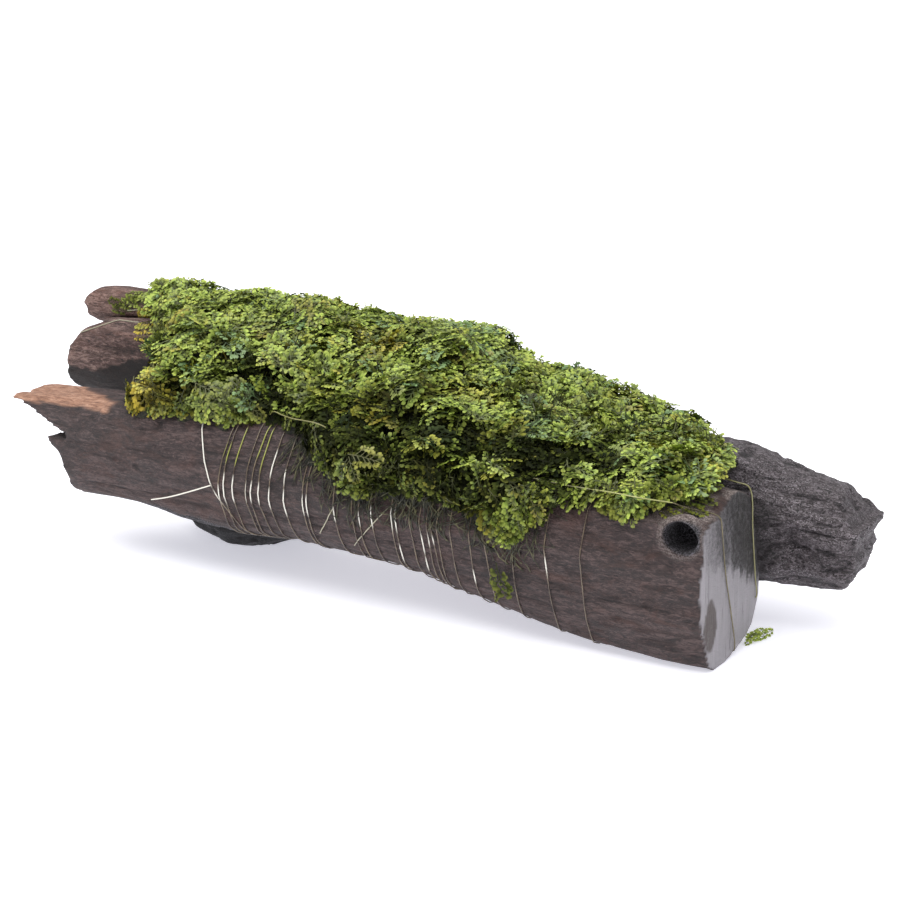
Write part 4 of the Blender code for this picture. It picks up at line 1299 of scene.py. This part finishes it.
def tube(points, radius, sides=6):
    """The points and faces of a round tube along an open path."""
    along = unit(np.gradient(points, axis=0))
    side = unit(np.cross(along, [0.3, 0.9, 0.1]))
    other = np.cross(along, side)
    angles = 2 * math.pi * np.arange(sides) / sides
    rings = (points[:, None] + radius * (np.cos(angles)[None, :, None] * side[:, None]
                                         + np.sin(angles)[None, :, None] * other[:, None]))
    ring = np.arange(len(points) - 1)[:, None] * sides
    k = np.arange(sides)[None]
    after = (k + 1) % sides
    faces = np.stack([ring + k, ring + after, ring + sides + after, ring + sides + k], axis=2)
    return rings.reshape(-1, 3), faces.reshape(-1, 4)


def within(points, stretches):
    """1 for points on the front that lie in one of the stretches (x, z from, z to)."""
    found = np.zeros(len(points))
    for x, low, high in stretches:
        near = (np.abs(points[:, 0] - x) < GLINT_REACH) & (points[:, 1] < LINE_FRONT)
        z = points[:, 2]
        found = np.maximum(found, near * (ramp(z, low - 0.4, low + 0.4)
                                          * fall(z, high - 0.4, high + 0.4)))
    return found


def make_line(look, wood, wood_tree, rng):
    paths = []
    for x in LINE_TURNS:
        lean = LINE_FIRST_LEAN if x == LINE_TURNS[0] else rng.normal(0, 0.02)
        paths.append((wrap(wood, x, lean), 0.0, 0.0))
    for corners, glint, yellow in (LINE_TAIL, *LINE_PASSES):
        paths.append((curved(corners, 1.2), glint, yellow))
    for corners in LINE_SLANTS:
        paths.append((on_front(corners, wood_tree), 0.25, 0.3))
    points, faces, glints, yellows = [], [], [], []
    for path, glint, yellow in paths:
        around, sides = tube(path, LINE_RADIUS)
        turn = glint == 0 and yellow == 0
        faces.append(sides + sum(map(len, points)))
        points.append(around)
        glints.append(within(around, LINE_GLINTS) if turn else np.full(len(around), glint))
        yellows.append(within(around, LINE_YELLOWS) if turn else np.full(len(around), yellow))
    line = make_piece("nylon_line", np.concatenate(points), np.concatenate(faces), look, "line",
                      glint=np.concatenate(glints), yellow=np.concatenate(yellows))
    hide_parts("tying_line")


# The stage.

def make_stage():
    look = Look("white_table")
    grain = look.noise(30, 2, 0.5)
    colour = look.colours(grain, (0.0, 0.88, 0.88, 0.89, 1), (1.0, 0.92, 0.92, 0.92, 1))
    material = look.finish(colour, 0.7, Emission_Color=TABLE_GLOW,
                           Emission_Strength=TABLE_GLOW_STRENGTH)
    mesh = bpy.data.meshes.new("table")
    mesh.from_pydata([(x * TABLE_REACH * MM, y * TABLE_REACH * MM, 0)
                      for x, y in ((-1, -1), (1, -1), (1, 1), (-1, 1))], [], [(0, 1, 2, 3)])
    mesh.materials.append(material)
    table = placed("table", mesh)


def soft_light(name, at, target, size, power):
    data = bpy.data.lights.new(name, "AREA")
    data.shape = "RECTANGLE"
    data.size, data.size_y = (s * MM for s in size)
    data.energy = power
    light = placed(name, data)
    light.location = Vector(at) * MM
    light.rotation_euler = (Vector(target) - Vector(at)).to_track_quat("-Z", "Y").to_euler()


def light_and_camera():
    world = bpy.data.worlds.new("studio")
    world.use_nodes = True
    backdrop = world.node_tree.nodes["Background"]
    backdrop.inputs["Color"].default_value = BACKDROP_COLOUR
    backdrop.inputs["Strength"].default_value = BACKDROP_STRENGTH
    bpy.context.scene.world = world
    for light in LIGHTS:
        soft_light(*light)

    data = bpy.data.cameras.new("camera")
    data.lens = CAMERA_LENS
    data.sensor_width = CAMERA_SENSOR
    data.clip_start = 0.01
    camera = placed("camera", data)
    camera.location = Vector(CAMERA_AT) * MM
    camera.rotation_euler = (math.radians(90 - CAMERA_ELEVATION), 0, math.radians(CAMERA_AZIMUTH))
    bpy.context.scene.camera = camera
    bpy.context.scene.view_settings.view_transform = "Standard"


def main():
    rng = np.random.default_rng(RANDOM_SEED)
    rough = limb_look()
    solids = [
        make_trunk(trunk_look()),
        make_limb("limb_wood", "rear_limb", LIMB_VOXEL, rough, LIMB_WEAR),
        make_limb("foot_wood", "foot_stub", STUB_VOXEL, foot_shade_look(), FOOT_WEAR),
        make_limb("stub_wood", "upper_stub", STUB_VOXEL, stub_look(), STUB_WEAR),
    ]
    wood = np.concatenate([points for points, _ in solids])
    starts = np.cumsum([0] + [len(points) for points, _ in solids[:-1]])
    wood_tree = tree_of(wood, np.concatenate([f + s for (_, f), s in zip(solids, starts)]))

    fronds = frond_look()
    shapes = [frond_shape(rng, 3 + k % 3) for k in range(FROND_SHAPES)]
    bed_tree = make_bed(bed_look(), wood_tree)
    mat = Mat(wood_tree)
    make_fronds(fronds, rng, shapes, mat)
    make_undergrowth(fronds, rng, shapes[::2], mat)
    make_creepers(fronds, wood_tree, rng, shapes)
    make_stems(stem_look(), wood_tree, bed_tree, rng)
    make_sprigs(fronds, rng, [frond_shape(rng, 3, SPRIG_SPREAD, SPRIG_LOBE) for _ in range(3)])
    make_line(line_look(), wood, wood_tree, rng)
    make_stage()
    light_and_camera()


main()
